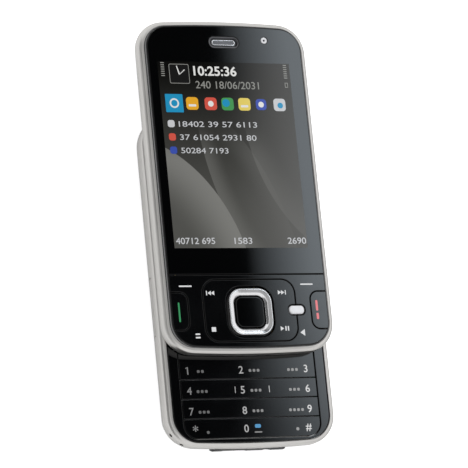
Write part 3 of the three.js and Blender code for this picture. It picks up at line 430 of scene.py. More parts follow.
def piece(name, shape, body, finish, *replaces, sharp=SHARP_ANGLE, slot=None):
    """Turns a drawn shape into a named piece in metres that rides on a body."""
    bmesh.ops.recalc_face_normals(shape, faces=shape.faces)
    for face in shape.faces:
        face.smooth = True
    for line in shape.edges:
        line.smooth = line.calc_face_angle(0) < sharp
    stretch(shape, MILLIMETRE, MILLIMETRE, MILLIMETRE)
    mesh = bpy.data.meshes.new(name)
    shape.to_mesh(mesh)
    shape.free()
    mesh.materials.append(coats[finish])
    made = bpy.data.objects.new(name, mesh)
    bpy.context.scene.collection.objects.link(made)
    normals = made.modifiers.new("normals", "WEIGHTED_NORMAL")
    normals.keep_sharp = True
    slot = slot or SLOTS.get(finish, PRINT_SLOT)
    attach(made, body)
    if replaces:
        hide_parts(*replaces)
    return made


# Finishes

# Range of a noise that counts, as noises keep near their middle
GRAIN_SPREAD = (0.3, 0.7)
# The battery's bands, as shares of its length, and how far each reaches from its middle, in metres
BAND_PLACES = (0.16, 0.84)
BAND_REACH = 0.0018


def add(tree, kind, sockets=(), **settings):
    made = tree.nodes.new(kind)
    for key, value in settings.items():
        setattr(made, key, value)
    for key, value in dict(sockets).items():
        if isinstance(value, bpy.types.NodeSocket):
            tree.links.new(value, made.inputs[key])
        else:
            made.inputs[key].default_value = value
    return made


def maths(tree, operation, first, second=0.0, third=0.0):
    made = add(tree, "ShaderNodeMath", {0: first, 1: second, 2: third}, operation=operation)
    return made.outputs[0]


def rise(tree, value, start, end, low=0.0, high=1.0):
    sockets = {"Value": value, "From Min": start, "From Max": end, "To Min": low, "To Max": high}
    made = add(tree, "ShaderNodeMapRange", sockets, interpolation_type="SMOOTHSTEP")
    return made.outputs["Result"]


def blend(tree, share, first, second):
    made = add(tree, "ShaderNodeMix", {0: share, 6: first, 7: second}, data_type="RGBA")
    return made.outputs[2]


def place_on(tree, stretch=(1, 1, 1), turn=(0, 0, 0), shift=(0, 0, 0)):
    where = add(tree, "ShaderNodeTexCoord").outputs["Object"]
    sockets = {"Vector": where, "Scale": stretch, "Rotation": turn, "Location": shift}
    return add(tree, "ShaderNodeMapping", sockets).outputs["Vector"]


def axes(tree, where):
    return add(tree, "ShaderNodeSeparateXYZ", {"Vector": where}).outputs


def grain(tree, where, scale, detail=2.0):
    return add(tree, "ShaderNodeTexNoise", {"Vector": where, "Scale": scale, "Detail": detail}).outputs["Fac"]


def relief(tree, height, depth, strength=1.0, under=None):
    sockets = {"Height": height, "Distance": depth, "Strength": strength}
    if under is not None:
        sockets["Normal"] = under
    return add(tree, "ShaderNodeBump", sockets).outputs["Normal"]


def bare(name, **sockets):
    material = bpy.data.materials.new(name)
    material.use_nodes = True
    shader = material.node_tree.nodes["Principled BSDF"]
    for key, value in sockets.items():
        shader.inputs[key.replace("_", " ")].default_value = value
    return material, material.node_tree, shader


def wire(tree, shader, **outputs):
    """Links outputs to the shader's sockets, whose spaces are written as underscores."""
    for key, value in outputs.items():
        tree.links.new(value, shader.inputs[key.replace("_", " ")])


def tone(red, green, blue):
    return (red, green, blue, 1.0)


def coat(name, light, dark, gloss, metallic=0.0, drift=140.0, pores=5200.0, depth=0.000004, stretch=(1, 1, 1),
         smudge=60.0, **sockets):
    """Finish whose tone drifts, whose gloss varies with handling and whose fine relief follows its making."""
    material, tree, shader = bare(name, Metallic=metallic, **sockets)
    where = place_on(tree, stretch)
    plain = place_on(tree)
    shade = blend(tree, grain(tree, where, drift, 4.0), tone(*dark), tone(*light))
    wear = rise(tree, grain(tree, plain, smudge, 5.0), *GRAIN_SPREAD, *gloss)
    tooth = relief(tree, grain(tree, where, pores, 3.0), depth)
    wire(tree, shader, Base_Color=shade, Roughness=wear, Normal=tooth)
    return material


def print_coat(name, colour, glow=0.0):
    """Screen-printed ink: even, slightly raised, with a soft tooth."""
    dark = [0.9 * value for value in colour]
    material = coat(name, colour, dark, (0.3, 0.42), drift=900.0, pores=9000.0, depth=0.000002)
    if glow:
        shader = material.node_tree.nodes["Principled BSDF"]
        shader.inputs["Emission Color"].default_value = tone(*colour)
        shader.inputs["Emission Strength"].default_value = glow
    return material


def pad_print_coat(name, dim, clear):
    """Ink on the number pad with painted light on it: greyer at the left of the pad as painted shade, clearer
    at its right as painted light.
    """
    material, tree, shader = bare(name, Roughness=0.38)
    where = place_on(tree)
    # Painted light: the ink runs from a darker grey at the left, which is painted shade, to a clearer grey at
    # the right, which is painted light
    share = rise(tree, axes(tree, where)["X"], -HALF_WIDTH * MILLIMETRE, HALF_WIDTH * MILLIMETRE)
    shade = blend(tree, share, tone(dim, dim, dim), tone(clear, clear, clear))
    worn = maths(tree, "MULTIPLY", grain(tree, where, 900.0, 4.0), 0.2)
    shade = blend(tree, worn, shade, tone(dim, dim, dim))
    wire(tree, shader, Base_Color=shade, Normal=relief(tree, grain(tree, where, 9000.0), 0.000002))
    return material


def board_coat(name, mask, mask_light, trace):
    """Solder mask over copper traces, with bare gold pads."""
    material, tree, shader = bare(name, IOR=1.5)
    where = place_on(tree)
    traces = add(tree, "ShaderNodeTexBrick", {
        "Vector": where, "Scale": 1.0, "Mortar Size": 0.00022, "Brick Width": 0.0031, "Row Height": 0.0017,
        "Color1": tone(*mask), "Color2": tone(*mask_light), "Mortar": tone(*trace)})
    dots = add(tree, "ShaderNodeTexVoronoi", {"Vector": where, "Scale": 420.0}, feature="F1")
    pads = maths(tree, "LESS_THAN", dots.outputs["Distance"], 0.16)
    shade = blend(tree, pads, traces.outputs["Color"], tone(0.72, 0.5, 0.2))
    wire(tree, shader, Base_Color=shade, Metallic=pads, Normal=relief(tree, traces.outputs["Fac"], 0.00003),
         Roughness=rise(tree, grain(tree, where, 300.0), *GRAIN_SPREAD, 0.3, 0.5))
    return material


def battery_coat():
    """Shrink wrap on the cell: light grey with two plain darker bands and a foil sheen."""
    material, tree, shader = bare("battery_wrap", Metallic=0.3, Coat_Weight=0.3, Coat_Roughness=0.2)
    where = place_on(tree)
    along = axes(tree, where)["Y"]
    low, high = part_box("battery")
    bands = 0
    for place in BAND_PLACES:
        inside = maths(tree, "COMPARE", along, low.y + (high.y - low.y) * place, BAND_REACH)
        bands = maths(tree, "MAXIMUM", bands, inside)
    shade = blend(tree, bands, tone(0.5, 0.51, 0.52), tone(0.08, 0.1, 0.13))
    shade = blend(tree, grain(tree, where, 260.0, 4.0), shade, tone(0.42, 0.43, 0.45))
    wire(tree, shader, Base_Color=shade, Normal=relief(tree, grain(tree, where, 900.0), 0.00002),
         Roughness=rise(tree, grain(tree, where, 500.0), *GRAIN_SPREAD, 0.32, 0.5))
    return material


# Each sweep of light: its centre, radius and width as shares of the picture, its tone and its weight
SWEEPS = (
    (-0.35, 1.35, 0.95, 0.34, (0.24, 0.24, 0.225), 0.8),
    (-0.35, 1.35, 1.32, 0.16, (0.11, 0.11, 0.102), 0.6),
    (1.5, 0.2, 0.9, 0.2, (0.17, 0.17, 0.16), 0.5),
    (1.5, 0.2, 1.25, 0.14, (0.2, 0.2, 0.188), 0.4),
)


def wallpaper_coat(low, high):
    """Picture on the display: dark at the top, grey below, with broad soft sweeps of light."""
    material, tree, shader = bare("display_picture", Roughness=0.07, IOR=1.3)
    where = place_on(tree)
    across, along, _ = axes(tree, where)
    left, right = low[0] * MILLIMETRE, high[0] * MILLIMETRE
    bottom, top = low[1] * MILLIMETRE, high[1] * MILLIMETRE
    share_x = rise_line(tree, across, left, right)
    share_y = rise_line(tree, along, top, bottom)
    shade = blend(tree, rise(tree, share_y, 0.0, 0.5), tone(0.004, 0.004, 0.0035), tone(0.04, 0.04, 0.036))
    shade = blend(tree, rise(tree, share_y, 0.35, 0.9), shade, tone(0.085, 0.085, 0.078))
    below = rise(tree, share_y, 0.3, 0.55)
    for centre_x, centre_y, radius, width, colour, weight in SWEEPS:
        dx = maths(tree, "SUBTRACT", share_x, centre_x)
        dy = maths(tree, "SUBTRACT", share_y, centre_y)
        far = maths(tree, "SQRT", maths(tree, "MULTIPLY_ADD", dx, dx, maths(tree, "MULTIPLY", dy, dy)))
        inside = maths(tree, "LESS_THAN", far, radius)
        band = maths(tree, "MULTIPLY", rise(tree, far, radius - width, radius), inside)
        amount = maths(tree, "MULTIPLY", maths(tree, "MULTIPLY", band, below), weight)
        shade = blend(tree, amount, shade, tone(*colour))
    aside = rise(tree, share_x, 0.45, 1.0)
    shade = blend(tree, maths(tree, "MULTIPLY", aside, 0.5), shade, tone(0.075, 0.066, 0.056))
    cells = grain(tree, where, 9000.0)
    shade = blend(tree, maths(tree, "MULTIPLY", cells, 0.06), shade, tone(0.02, 0.02, 0.02))
    wire(tree, shader, Base_Color=shade)
    return material


def rise_line(tree, value, start, end):
    sockets = {"Value": value, "From Min": start, "From Max": end}
    return add(tree, "ShaderNodeMapRange", sockets, clamp=True).outputs["Result"]


def make_finishes():
    silver = dict(metallic=1.0, drift=45.0, pores=7000.0, depth=0.0000025)
    return {
        "silver": coat("silver_satin", (0.64, 0.63, 0.61), (0.6, 0.59, 0.572), (0.3, 0.38), **silver),
        "rim": coat("silver_bright", (0.64, 0.632, 0.615), (0.6, 0.592, 0.576), (0.28, 0.36), **silver),
        "chrome": coat("satin_chrome", (0.8, 0.8, 0.81), (0.75, 0.75, 0.765), (0.13, 0.2), metallic=1.0,
                       drift=90.0, pores=6000.0, depth=0.000002, stretch=(1, 9, 1)),
        "glass": coat("black_glass", (0.0011, 0.0012, 0.0014), (0.0007, 0.0008, 0.001), (0.035, 0.06),
                      drift=40.0, pores=900.0, depth=0.0000004, smudge=35.0),
        "key": coat("key_black", (0.0019, 0.002, 0.0023), (0.0014, 0.0015, 0.0018), (0.055, 0.095),
                    drift=80.0, pores=4200.0, depth=0.0000012),
        "surround": coat("surround_black", (0.0017, 0.0018, 0.0021), (0.0012, 0.0013, 0.0016), (0.05, 0.09),
                         drift=80.0, pores=3800.0, depth=0.0000012),
        "satin_black": coat("satin_black", (0.022, 0.023, 0.025), (0.016, 0.017, 0.019), (0.34, 0.46),
                            drift=120.0, pores=3500.0, depth=0.000008),
        "back": coat("back_black", (0.017, 0.0175, 0.019), (0.012, 0.0125, 0.0145), (0.16, 0.26),
                     drift=55.0, pores=2600.0, depth=0.000006, Coat_Weight=0.5, Coat_Roughness=0.12),
        "pearl": coat("pearl_white", (0.8, 0.81, 0.83), (0.7, 0.71, 0.74), (0.22, 0.32), drift=300.0,
                      pores=6000.0, Coat_Weight=0.4, Coat_Roughness=0.1),
        "steel": coat("brushed_steel", (0.6, 0.6, 0.61), (0.42, 0.42, 0.43), (0.24, 0.38), metallic=1.0,
                      drift=900.0, pores=3200.0, depth=0.000006, stretch=(1, 0.05, 1)),
        "dark_steel": coat("slide_steel", (0.2, 0.2, 0.21), (0.14, 0.14, 0.15), (0.3, 0.42), metallic=1.0,
                           drift=700.0, pores=2600.0, depth=0.000006, stretch=(1, 0.06, 1)),
        # Grey of the glass's edge bead: painted highlight
        "bead": coat("bead_highlight_grey", (0.28, 0.281, 0.285), (0.24, 0.241, 0.244), (0.2, 0.3), drift=160.0,
                     pores=4000.0, depth=0.000003),
        "mesh": coat("mesh_grey", (0.12, 0.124, 0.128), (0.1, 0.104, 0.108), (0.35, 0.5), drift=400.0,
                     pores=3000.0, depth=0.00001),
        "plastic": coat("inner_plastic", (0.03, 0.031, 0.033), (0.022, 0.023, 0.025), (0.4, 0.55),
                        drift=200.0, pores=3000.0, depth=0.00001),
        "gold": coat("contact_gold", (0.83, 0.62, 0.28), (0.72, 0.52, 0.22), (0.22, 0.34), metallic=1.0,
                     drift=500.0, pores=5000.0),
        "film": coat("dome_film", (0.72, 0.73, 0.75), (0.6, 0.61, 0.64), (0.3, 0.45), drift=350.0,
                     pores=2500.0, depth=0.00001),
        "lens": coat("lens_glass", (0.006, 0.005, 0.012), (0.003, 0.003, 0.008), (0.02, 0.05), drift=200.0,
                     pores=800.0, depth=0.0000003, smudge=90.0, Coat_Weight=1.0, Coat_Roughness=0.02),
        "lamp": coat("lamp_cover", (0.85, 0.82, 0.62), (0.72, 0.68, 0.46), (0.12, 0.22), drift=700.0,
                     pores=1500.0, depth=0.00003),
        "board": board_coat("board_green", (0.02, 0.13, 0.07), (0.03, 0.17, 0.09), (0.05, 0.24, 0.13)),
        "key_board": board_coat("board_black", (0.004, 0.004, 0.005), (0.006, 0.006, 0.007),
                                (0.01, 0.01, 0.011)),
        "battery": battery_coat(),
        "white": print_coat("print_white", (0.78, 0.79, 0.8)),
        # Number pad inks with painted shade at the left and painted light at the right
        "digit": pad_print_coat("print_digit", 0.17, 0.86),
        "letter": pad_print_coat("print_small_mark", 0.08, 0.42),
        "green": print_coat("print_green", (0.014, 0.27, 0.085), 0.05),
        "red": print_coat("print_red", (0.76, 0.2, 0.22), 0.15),
        "blue": print_coat("print_blue", (0.08, 0.32, 0.6)),
    }


coats = make_finishes()


# Slider: metal frame and the plate at its back

def slider_ring(section):
    return skin([(slider_outline(*insets), SLIDER_FOOT + height) for *insets, height in section], closed=True)


def make_slider_frame():
    metal = slider_ring(SLIDER_SECTION)
    piece("slider_metal_frame", metal, "slider", "silver", "slider_frame", sharp=FRAME_SHARP)
    # The seal's black paints the shade in the groove at the glass's edge
    piece("slider_frame_shade_seal", slider_ring(SHADE_SEAL_SECTION), "slider", "satin_black")
    # The bead's grey paints the highlight on the glass's edge
    piece("glass_edge_highlight_bead", slider_ring(HIGHLIGHT_BEAD_SECTION), "slider", "bead")
    piece("glass_bezel_ring", slider_ring(BEZEL_SECTION), "slider", "glass")


NECK_WIDTH = 2.2
RAIL_ROUNDING = 0.9
RAIL_EDGE = 0.12


def make_slider_back():
    low, high = span("slider_back_plate")
    plate = slab(slider_outline(HALF_WIDTH - high.x), low.z, high.z)
    travel = next(joint for joint in frame["joints"] if joint["name"] == "slide_up_and_down")
    reach = -travel["range_m"][0] / MILLIMETRE
    rails = []
    for side in ("left", "right"):
        shoe_low, shoe_high = span(f"slide_shoe_{side}")
        middle = (shoe_low.x + shoe_high.x) / 2
        half = NECK_WIDTH / 2 + KEY_GAP
        rail = rounded_box((middle - half, shoe_low.y - 2 * KEY_GAP),
                           (middle + half, shoe_high.y + reach + 2 * KEY_GAP), half * RAIL_ROUNDING)
        rails.append(drill(rail, low, high))
    plate = soften(cut(plate, *rails), RAIL_EDGE)
    piece("slider_rail_plate", plate, "slider", "dark_steel", "slider_back_plate")


# Slider: glass, earpiece and camera

# Below, a section pairs an inset or a radius with its fall below the top
EAR_SLOT = (9.8, 3.6)
EAR_DROP = 0.35
EAR_FLOOR_CORNER = 1.0
EAR_FLOOR = 0.3
EAR_BAR = (7.6, 1.9)
EAR_BAR_RISE = 0.05
EAR_BAR_FIT = 0.05
EAR_TRIM_SECTION = ((0.04, None), (0.04, 0.16), (0.16, 0.05), (0.34, 0.12), (0.62, 0.62), (0.62, None))
EAR_BAR_SECTION = ((0.0, None), (0.0, 0.35), (0.46, 0.35), (0.46, 0.14), (0.56, 0.1))
EAR_RIM_SECTION = (
    (0.02, 0.33), (0.02, 0.14), (0.1, 0.03), (0.22, 0.0), (0.36, 0.04), (0.42, 0.12), (0.42, 0.33),
)
EAR_MESH_INSET = 0.65
EAR_MESH_DROP = 0.45
EAR_MESH_REST = 0.02
EAR_HOLE_DROP = 0.6
EAR_MESH_CORNER_REST = 0.1
EAR_MESH_HOLE = 0.2
EAR_MESH_ROWS = 0.52
OVAL_REST = 0.05
OVAL_STEPS = 16
SELF_CAMERA_RING = 1.0
SELF_CAMERA_FIT = 0.04
SELF_CAMERA_DROP = 0.06
SELF_CAMERA_FOOT = 1.0
SELF_CAMERA_BARREL = 1.55
SELF_RING_SECTION = (
    (0.32, None), (1.0, None), (1.0, 0.12), (0.88, 0.0), (0.7, 0.02), (0.4, 0.08), (0.32, 0.16),
)
SELF_LENS_SECTION = ((1.55, None), (0.3, None), (0.3, 0.3), (0.24, 0.24), (0.12, 0.2), (0, 0.19))


def oval(y, size, inset=0.0):
    """Outline on the middle line whose ends are all but round."""
    width, length = size
    return rounded(0, y, width - 2 * inset, length - 2 * inset, length / 2 - inset - OVAL_REST, OVAL_STEPS)


def face_slab(thickness):
    outline = slider_outline(RIM_SIDE + FACE_GAP, RIM_UPPER + FACE_GAP, RIM_LOWER + FACE_GAP)
    return slab(outline, FACE_TOP - thickness, FACE_TOP)


def make_glass():
    low, high = span("front_glass")
    ear = centre("earpiece_bar")
    eye = centre("front_camera")
    shape = split(face_slab(high.z - low.z), low.y, 1, keep_above=True)
    holes = [
        drill(oval(ear.y - EAR_DROP, EAR_SLOT), low, high),
        rod(SELF_CAMERA_RING + SELF_CAMERA_FIT, 2 * (high.z - low.z), (eye.x, eye.y, (low.z + high.z) / 2)),
    ]
    shape = soften(cut(shape, *holes), KEY_EDGE, height=FACE_TOP)
    piece("cover_glass", shape, "slider", "glass", "front_glass")


def make_earpiece():
    low, high = span("earpiece_bar")
    middle = centre("earpiece_bar").y - EAR_DROP
    bar_y = middle + EAR_BAR_RISE
    glass_low = span("front_glass")[0].z
    trim = stacked(lambda inset: oval(middle, EAR_SLOT, inset), EAR_TRIM_SECTION, FACE_TOP, glass_low)
    piece("earpiece_trim", skin(trim, closed=True), "slider", "dark_steel", slot="bright_trim")
    floor = slab(rounded_box(low, high, EAR_FLOOR_CORNER), low.z, low.z + EAR_FLOOR)
    body = skin(stacked(lambda inset: oval(bar_y, EAR_BAR, inset), EAR_BAR_SECTION, high.z, low.z))
    piece("earpiece_bar_body", join(floor, body), "slider", "dark_steel", "earpiece_bar", slot="bright_trim")
    rim = stacked(lambda inset: oval(bar_y, EAR_BAR, inset), EAR_RIM_SECTION, high.z)
    piece("earpiece_bright_rim", skin(rim, closed=True), "slider", "chrome")
    width, length = [size - 2 * EAR_MESH_INSET for size in EAR_SLOT]
    mesh_outline = rounded(0, middle, width, length, length / 2 - EAR_MESH_CORNER_REST, OVAL_STEPS)
    mesh_floor = slab(mesh_outline, low.z + EAR_FLOOR + EAR_MESH_REST, high.z - EAR_MESH_DROP)
    aside = EAR_BAR[0] / 2 + EAR_BAR_FIT
    places = [(x, middle + row * EAR_MESH_ROWS, high.z - EAR_HOLE_DROP)
              for x in (-aside, aside) for row in (-1, 0, 1)]
    holes = [rod(EAR_MESH_HOLE, OVERRUN, place, steps=12) for place in places]
    bar_room = slab(oval(bar_y, EAR_BAR, -EAR_BAR_FIT), low.z, high.z)
    piece("earpiece_mesh", cut(mesh_floor, bar_room, *holes), "slider", "mesh")


def make_self_camera():
    eye = centre("front_camera")
    low = span("front_camera")[0].z
    foot, top = low + SELF_CAMERA_FOOT, FACE_TOP - SELF_CAMERA_DROP
    place = (eye.x, eye.y, 0)
    ring_section = heights(SELF_RING_SECTION, top, foot)
    piece("front_camera_ring", turned(ring_section, place), "slider", "pearl", slot="bright_trim")
    lens_section = [(0, low), (SELF_CAMERA_BARREL, low), *heights(SELF_LENS_SECTION, top, foot)]
    piece("front_camera_lens", turned(lens_section, place), "slider", "lens", "front_camera")


# Slider: keys

KEY_THICKNESS = 1.1
PANEL_CORNER = 4.0
CALL_CORNER = 2.4
PILL_CORNER = 1.2
RING_CORNER = 4.1
OPENING_CORNER = 2.4
MOAT = 0.8
FINE_SEAM = 0.1
PANEL_THICKNESS = 1.5
PILL_SHARP = math.radians(50)
RING_TUCK = 0.1
RING_STEPS = 14

# Shares of the way from the ring's outer edge to its opening, with their falls below its top
RING_SECTION = (
    (0.0, 0.42), (0.03, 0.2), (0.08, 0.06), (0.14, 0.0), (0.2, 0.015), (0.58, 0.19),
    (0.64, 0.23), (0.7, 0.34), (0.9, 0.78), (0.96, 0.95), (1.0, 1.15), (1.0, None),
)
# Reach past the ring's outer edge, with its rise above the ring's foot
SKIRT_SECTION = ((0.45, 0.06), (0.45, 0.34), (0.35, 0.42), (-RING_TUCK, 0.42), (-RING_TUCK, 0.06))
SELECT_SECTION = ((0.0, None), (0.0, 0.22), (0.05, 0.09), (0.16, 0.02), (0.34, 0.0))
PILL_SECTION = ((0.1, None), (0.1, 0.32), (0.2, 0.13), (0.36, 0.03), (0.6, 0.0))


def key_slab():
    return split(face_slab(KEY_THICKNESS), span("left_function_key")[1].y, 1, keep_above=False)


def call_outline(name, grow=0.0):
    low, high = span(name)
    if name == "call_key":
        return rounded_box((low.x - 2 * CALL_CORNER, low.y), high, CALL_CORNER, grow)
    return rounded_box(low, (high.x + 2 * CALL_CORNER, high.y), CALL_CORNER, grow)


def cutter(points, low=None, high=None):
    low = FACE_TOP - 2 * KEY_THICKNESS if low is None else low
    return slab(points, low, FACE_TOP + OVERRUN if high is None else high)


def panel_cutter(grow):
    low, high = span("media_panel")
    return cutter(rounded_box(low, high, PANEL_CORNER, grow))


def pill_cutter(grow):
    low, high = span("multimedia_key")
    return cutter(rounded_box(low, high, PILL_CORNER, grow))


def make_keys():
    for name in ("call_key", "end_key"):
        shape = soften(common(key_slab(), cutter(call_outline(name))), KEY_EDGE, height=FACE_TOP)
        piece(f"{name}_cap", shape, name, "key", name)
    function_keys = (("left_function_key", "call_key", False), ("right_function_key", "end_key", True))
    for name, call, above in function_keys:
        half = split(key_slab(), FINE_SEAM / 2 if above else -FINE_SEAM / 2, 0, keep_above=above)
        shape = cut(half, panel_cutter(KEY_GAP), cutter(call_outline(call, KEY_GAP)), pill_cutter(KEY_GAP))
        shape = soften(shape, KEY_EDGE, height=FACE_TOP,
                       chosen=lambda line: any(abs(corner.co.x) > FINE_SEAM for corner in line.verts))
        piece(f"{name}_cap", shape, name, "key", name)


def ring_outline(share, grow=0.0):
    """Outline between the navigation ring's outer edge and its opening."""
    low, high = span("nav_ring")
    opening_low, opening_high = span("select_key")
    width = high.x - low.x - share * (high.x - low.x - (opening_high.x - opening_low.x) - 2 * KEY_GAP)
    length = high.y - low.y - share * (high.y - low.y - (opening_high.y - opening_low.y) - 2 * KEY_GAP)
    corner = RING_CORNER + share * (OPENING_CORNER - RING_CORNER)
    return rounded(0, (low.y + high.y) / 2, width + 2 * grow, length + 2 * grow, corner + grow, RING_STEPS)


def make_navigation():
    low, high = span("nav_ring")
    panel = slab(rounded_box(*span("media_panel"), PANEL_CORNER), FACE_TOP - PANEL_THICKNESS, FACE_TOP)
    panel = cut(panel, cutter(ring_outline(0.0, MOAT)), pill_cutter(KEY_GAP))
    piece("media_panel_cover", soften(panel, KEY_EDGE, height=FACE_TOP), "slider", "key", "media_panel")
    levels = [(ring_outline(0.0, -RING_TUCK), low.z), *stacked(ring_outline, RING_SECTION, high.z, low.z)]
    piece("navigation_ring", skin(levels, closed=True), "nav_ring", "chrome", "nav_ring", sharp=SOFT_SHARP)
    levels = [(ring_outline(0.0, reach), low.z + rise_above) for reach, rise_above in SKIRT_SECTION]
    piece("navigation_ring_skirt", skin(levels, closed=True), "nav_ring", "key")
    low, high = span("select_key")
    levels = stacked(lambda inset: rounded_box(low, high, OPENING_CORNER - KEY_GAP, -inset), SELECT_SECTION,
                     high.z, low.z)
    piece("select_key_cap", skin(levels), "select_key", "glass", "select_key", sharp=SOFT_SHARP,
          slot="key_black")
    low, high = span("multimedia_key")
    levels = stacked(lambda inset: rounded_box(low, high, PILL_CORNER, -inset), PILL_SECTION, high.z,
                     FACE_TOP - KEY_THICKNESS)
    piece("multimedia_key_cap", skin(levels), "multimedia_key", "pearl", "multimedia_key", sharp=PILL_SHARP)


# Base: metal frame, door and keys round its edge

SLOT_GAP = 0.2
SIDE_KEY_CORNER = 0.9
SIDE_KEY_REST = 0.01
# Keys in the edge: the axis each faces, its rounding, and its grooves' radius, middle's height and places
EDGE_KEYS = {
    "volume_key": ("X", 0.4, 0.35, 0.12, (-0.9, 0.0, 0.9)),
    "camera_key": ("X", 0.4, 0, 0, ()),
    "power_key": ("Y", 0.35, 0, 0, ()),
    "lock_slider": ("Y", 0.35, 0.22, 0.08, (-1.0, -0.34, 0.34, 1.0)),
}
GROOVE_LENGTH = 3.0
DOOR_EDGE = 0.12
FRAME_WALL = 3.0
FRAME_WALL_END = 4.4
LOCK_TRAVEL = 1.5
JACK_NOSE = 2.3
JACK_BORE = 1.78
JACK_HEIGHT = 6.9
EYELET_LOOP = 2.2
EYELET_BORE = 0.6
EYELET_HEIGHT = 9.0


def base_levels():
    return [(base_outline(side, upper), FRAME_FOOT + height) for side, upper, _, height in BASE_SECTION]


def strap_hole():
    reach = CORNER * math.sqrt(0.5)
    middle = (CORNER - BASE_HALF_WIDTH - reach, BASE_Y - BASE_LENGTH / 2 + CORNER - reach, EYELET_HEIGHT)
    section = arc(EYELET_LOOP, 0, EYELET_BORE, 0, 2 * math.pi, 16)[:-1]
    return turned(section, middle)


def side_outline(name, grow=0.0, travel=0.0):
    """Outline of a key in the frame's right side, or of one in its upper end."""
    low, high = span(name)
    along = 1 if EDGE_KEYS[name][0] == "X" else 0
    return rounded_box((low[along], low.z), (high[along] + travel, high.z), SIDE_KEY_CORNER, grow)


def door_block(grow):
    low, high = span("card_door")
    return block((low.x - OVERRUN, low.y - grow, low.z - OVERRUN),
                 (high.x + grow, high.y + grow, high.z + grow))


def make_base_frame():
    lower, upper = [corner.y for corner in span("base_frame")]
    card_low, card_high = span("memory_card")
    jack_x = centre("audio_socket").x
    port_low, port_high = span("port_block")
    wall_in = BASE_HALF_WIDTH - FRAME_WALL - OVERRUN
    walls = {"X": (wall_in, BASE_HALF_WIDTH + OVERRUN),
             "Y": (upper - FRAME_WALL_END - OVERRUN, upper + OVERRUN)}
    key_slots = []
    for name, (axis, *_) in EDGE_KEYS.items():
        travel = LOCK_TRAVEL if name == "lock_slider" else 0.0
        key_slots.append(lying(side_outline(name, SLOT_GAP, travel), *walls[axis], axis))
    tools = [
        door_block(SLOT_GAP),
        block((-BASE_HALF_WIDTH, card_low.y - KEY_GAP, card_low.z - KEY_GAP),
              (-wall_in, card_high.y + KEY_GAP, card_high.z + KEY_GAP)),
        *key_slots,
        rod(JACK_NOSE + SLOT_GAP, 2 * (FRAME_WALL_END + OVERRUN), (jack_x, upper, JACK_HEIGHT), "Y"),
        block((port_low.x - SLOT_GAP, lower - OVERRUN, FRAME_FOOT - OVERRUN),
              (port_high.x + SLOT_GAP, lower + FRAME_WALL_END + OVERRUN, port_high.z + SLOT_GAP)),
        strap_hole(),
    ]
    shape = cut(skin(base_levels(), closed=True), *tools)
    piece("base_metal_frame", shape, "base", "silver", "base_frame", sharp=FRAME_SHARP)
    door = common(skin(base_levels()[:BASE_OUTER_RINGS]), door_block(0.0))
    door = soften(door, DOOR_EDGE, least=math.radians(60))
    piece("card_door_cap", door, "card_door", "silver", "card_door", sharp=FRAME_SHARP)


def make_edge_keys():
    for name, (axis, edge, radius, height, shifts) in EDGE_KEYS.items():
        low, high = span(name)
        out = "XY".index(axis)
        face = high[out] - SIDE_KEY_REST
        shape = soften(lying(side_outline(name), low[out], high[out], axis), edge, steps=4,
                       chosen=lambda line: all(corner.co[out] > face for corner in line.verts))
        grooves = []
        for shift in shifts:
            middle = (low + high) / 2
            middle[out] = high[out] + height
            middle[1 - out] += shift
            grooves.append(rod(radius, GROOVE_LENGTH, middle))
        shape = cut(shape, *grooves) if grooves else shape
        piece(f"{name}_cap", shape, name, "rim", name)


# Base: sockets

JACK_NECK = 3.7
JACK_NECK_REST = 0.5
JACK_DEPTH = 10.0
JACK_COLLAR_SECTION = ((-0.08, -0.4), (0.37, -0.4), (0.37, 0.0), (0.12, 0.1), (-0.08, -0.05))
JACK_LEAF = (0.5, 0.28, 0.02)
JACK_LEAF_INSET = 1.0
PORT_HEIGHT = 5.6
PORT_SLOPE = 0.75
PORT_LIP = 1.5
DATA_CORNER = 0.7
DATA_FIT = 0.12
DATA_WALL = 0.25
DATA_BACK = 0.3
CONTACTS = 5
CONTACT_PITCH = 1.05
CHARGE_BORE = 1.62
CHARGE_FLOOR = 0.9
# Radius and depth behind the socket's mouth
CHARGE_MOUTH = ((1.5, 0.1), (1.4, 0.0), (1.12, 0.0), (1.0, 0.12))
CHARGE_PIN = ((0.3, 1.4), (0.18, 1.15), (0, 1.1))


def make_audio_socket():
    low, high = span("audio_socket")
    middle = (low.x + high.x) / 2
    mouth = (middle, high.y, JACK_HEIGHT)
    body = block(low, (high.x, high.y - JACK_NECK, high.z))
    neck_length = JACK_NECK + JACK_NECK_REST
    neck = rod(JACK_NOSE, neck_length, (middle, high.y - neck_length / 2, JACK_HEIGHT), "Y")
    bore = rod(JACK_BORE, 2 * JACK_DEPTH, mouth, "Y")
    shape = cut(join(soften(body, 0.3), neck), bore)
    piece("audio_socket_body", shape, "base", "plastic", "audio_socket")
    collar = [(JACK_BORE + reach, depth) for reach, depth in JACK_COLLAR_SECTION]
    piece("audio_socket_collar", turned(collar, mouth, "Y"), "base", "steel")
    width, thickness, rest = JACK_LEAF
    foot = JACK_HEIGHT - JACK_BORE + rest
    leaf = block((middle - width / 2, low.y + JACK_LEAF_INSET, foot),
                 (middle + width / 2, high.y - JACK_LEAF_INSET, foot + thickness))
    piece("audio_socket_leaf", soften(leaf, 0.06), "base", "gold")


def data_outline(grow=0.0):
    low, high = span("data_socket")
    return rounded_box((low.x, low.z), (high.x, high.z), DATA_CORNER, grow)


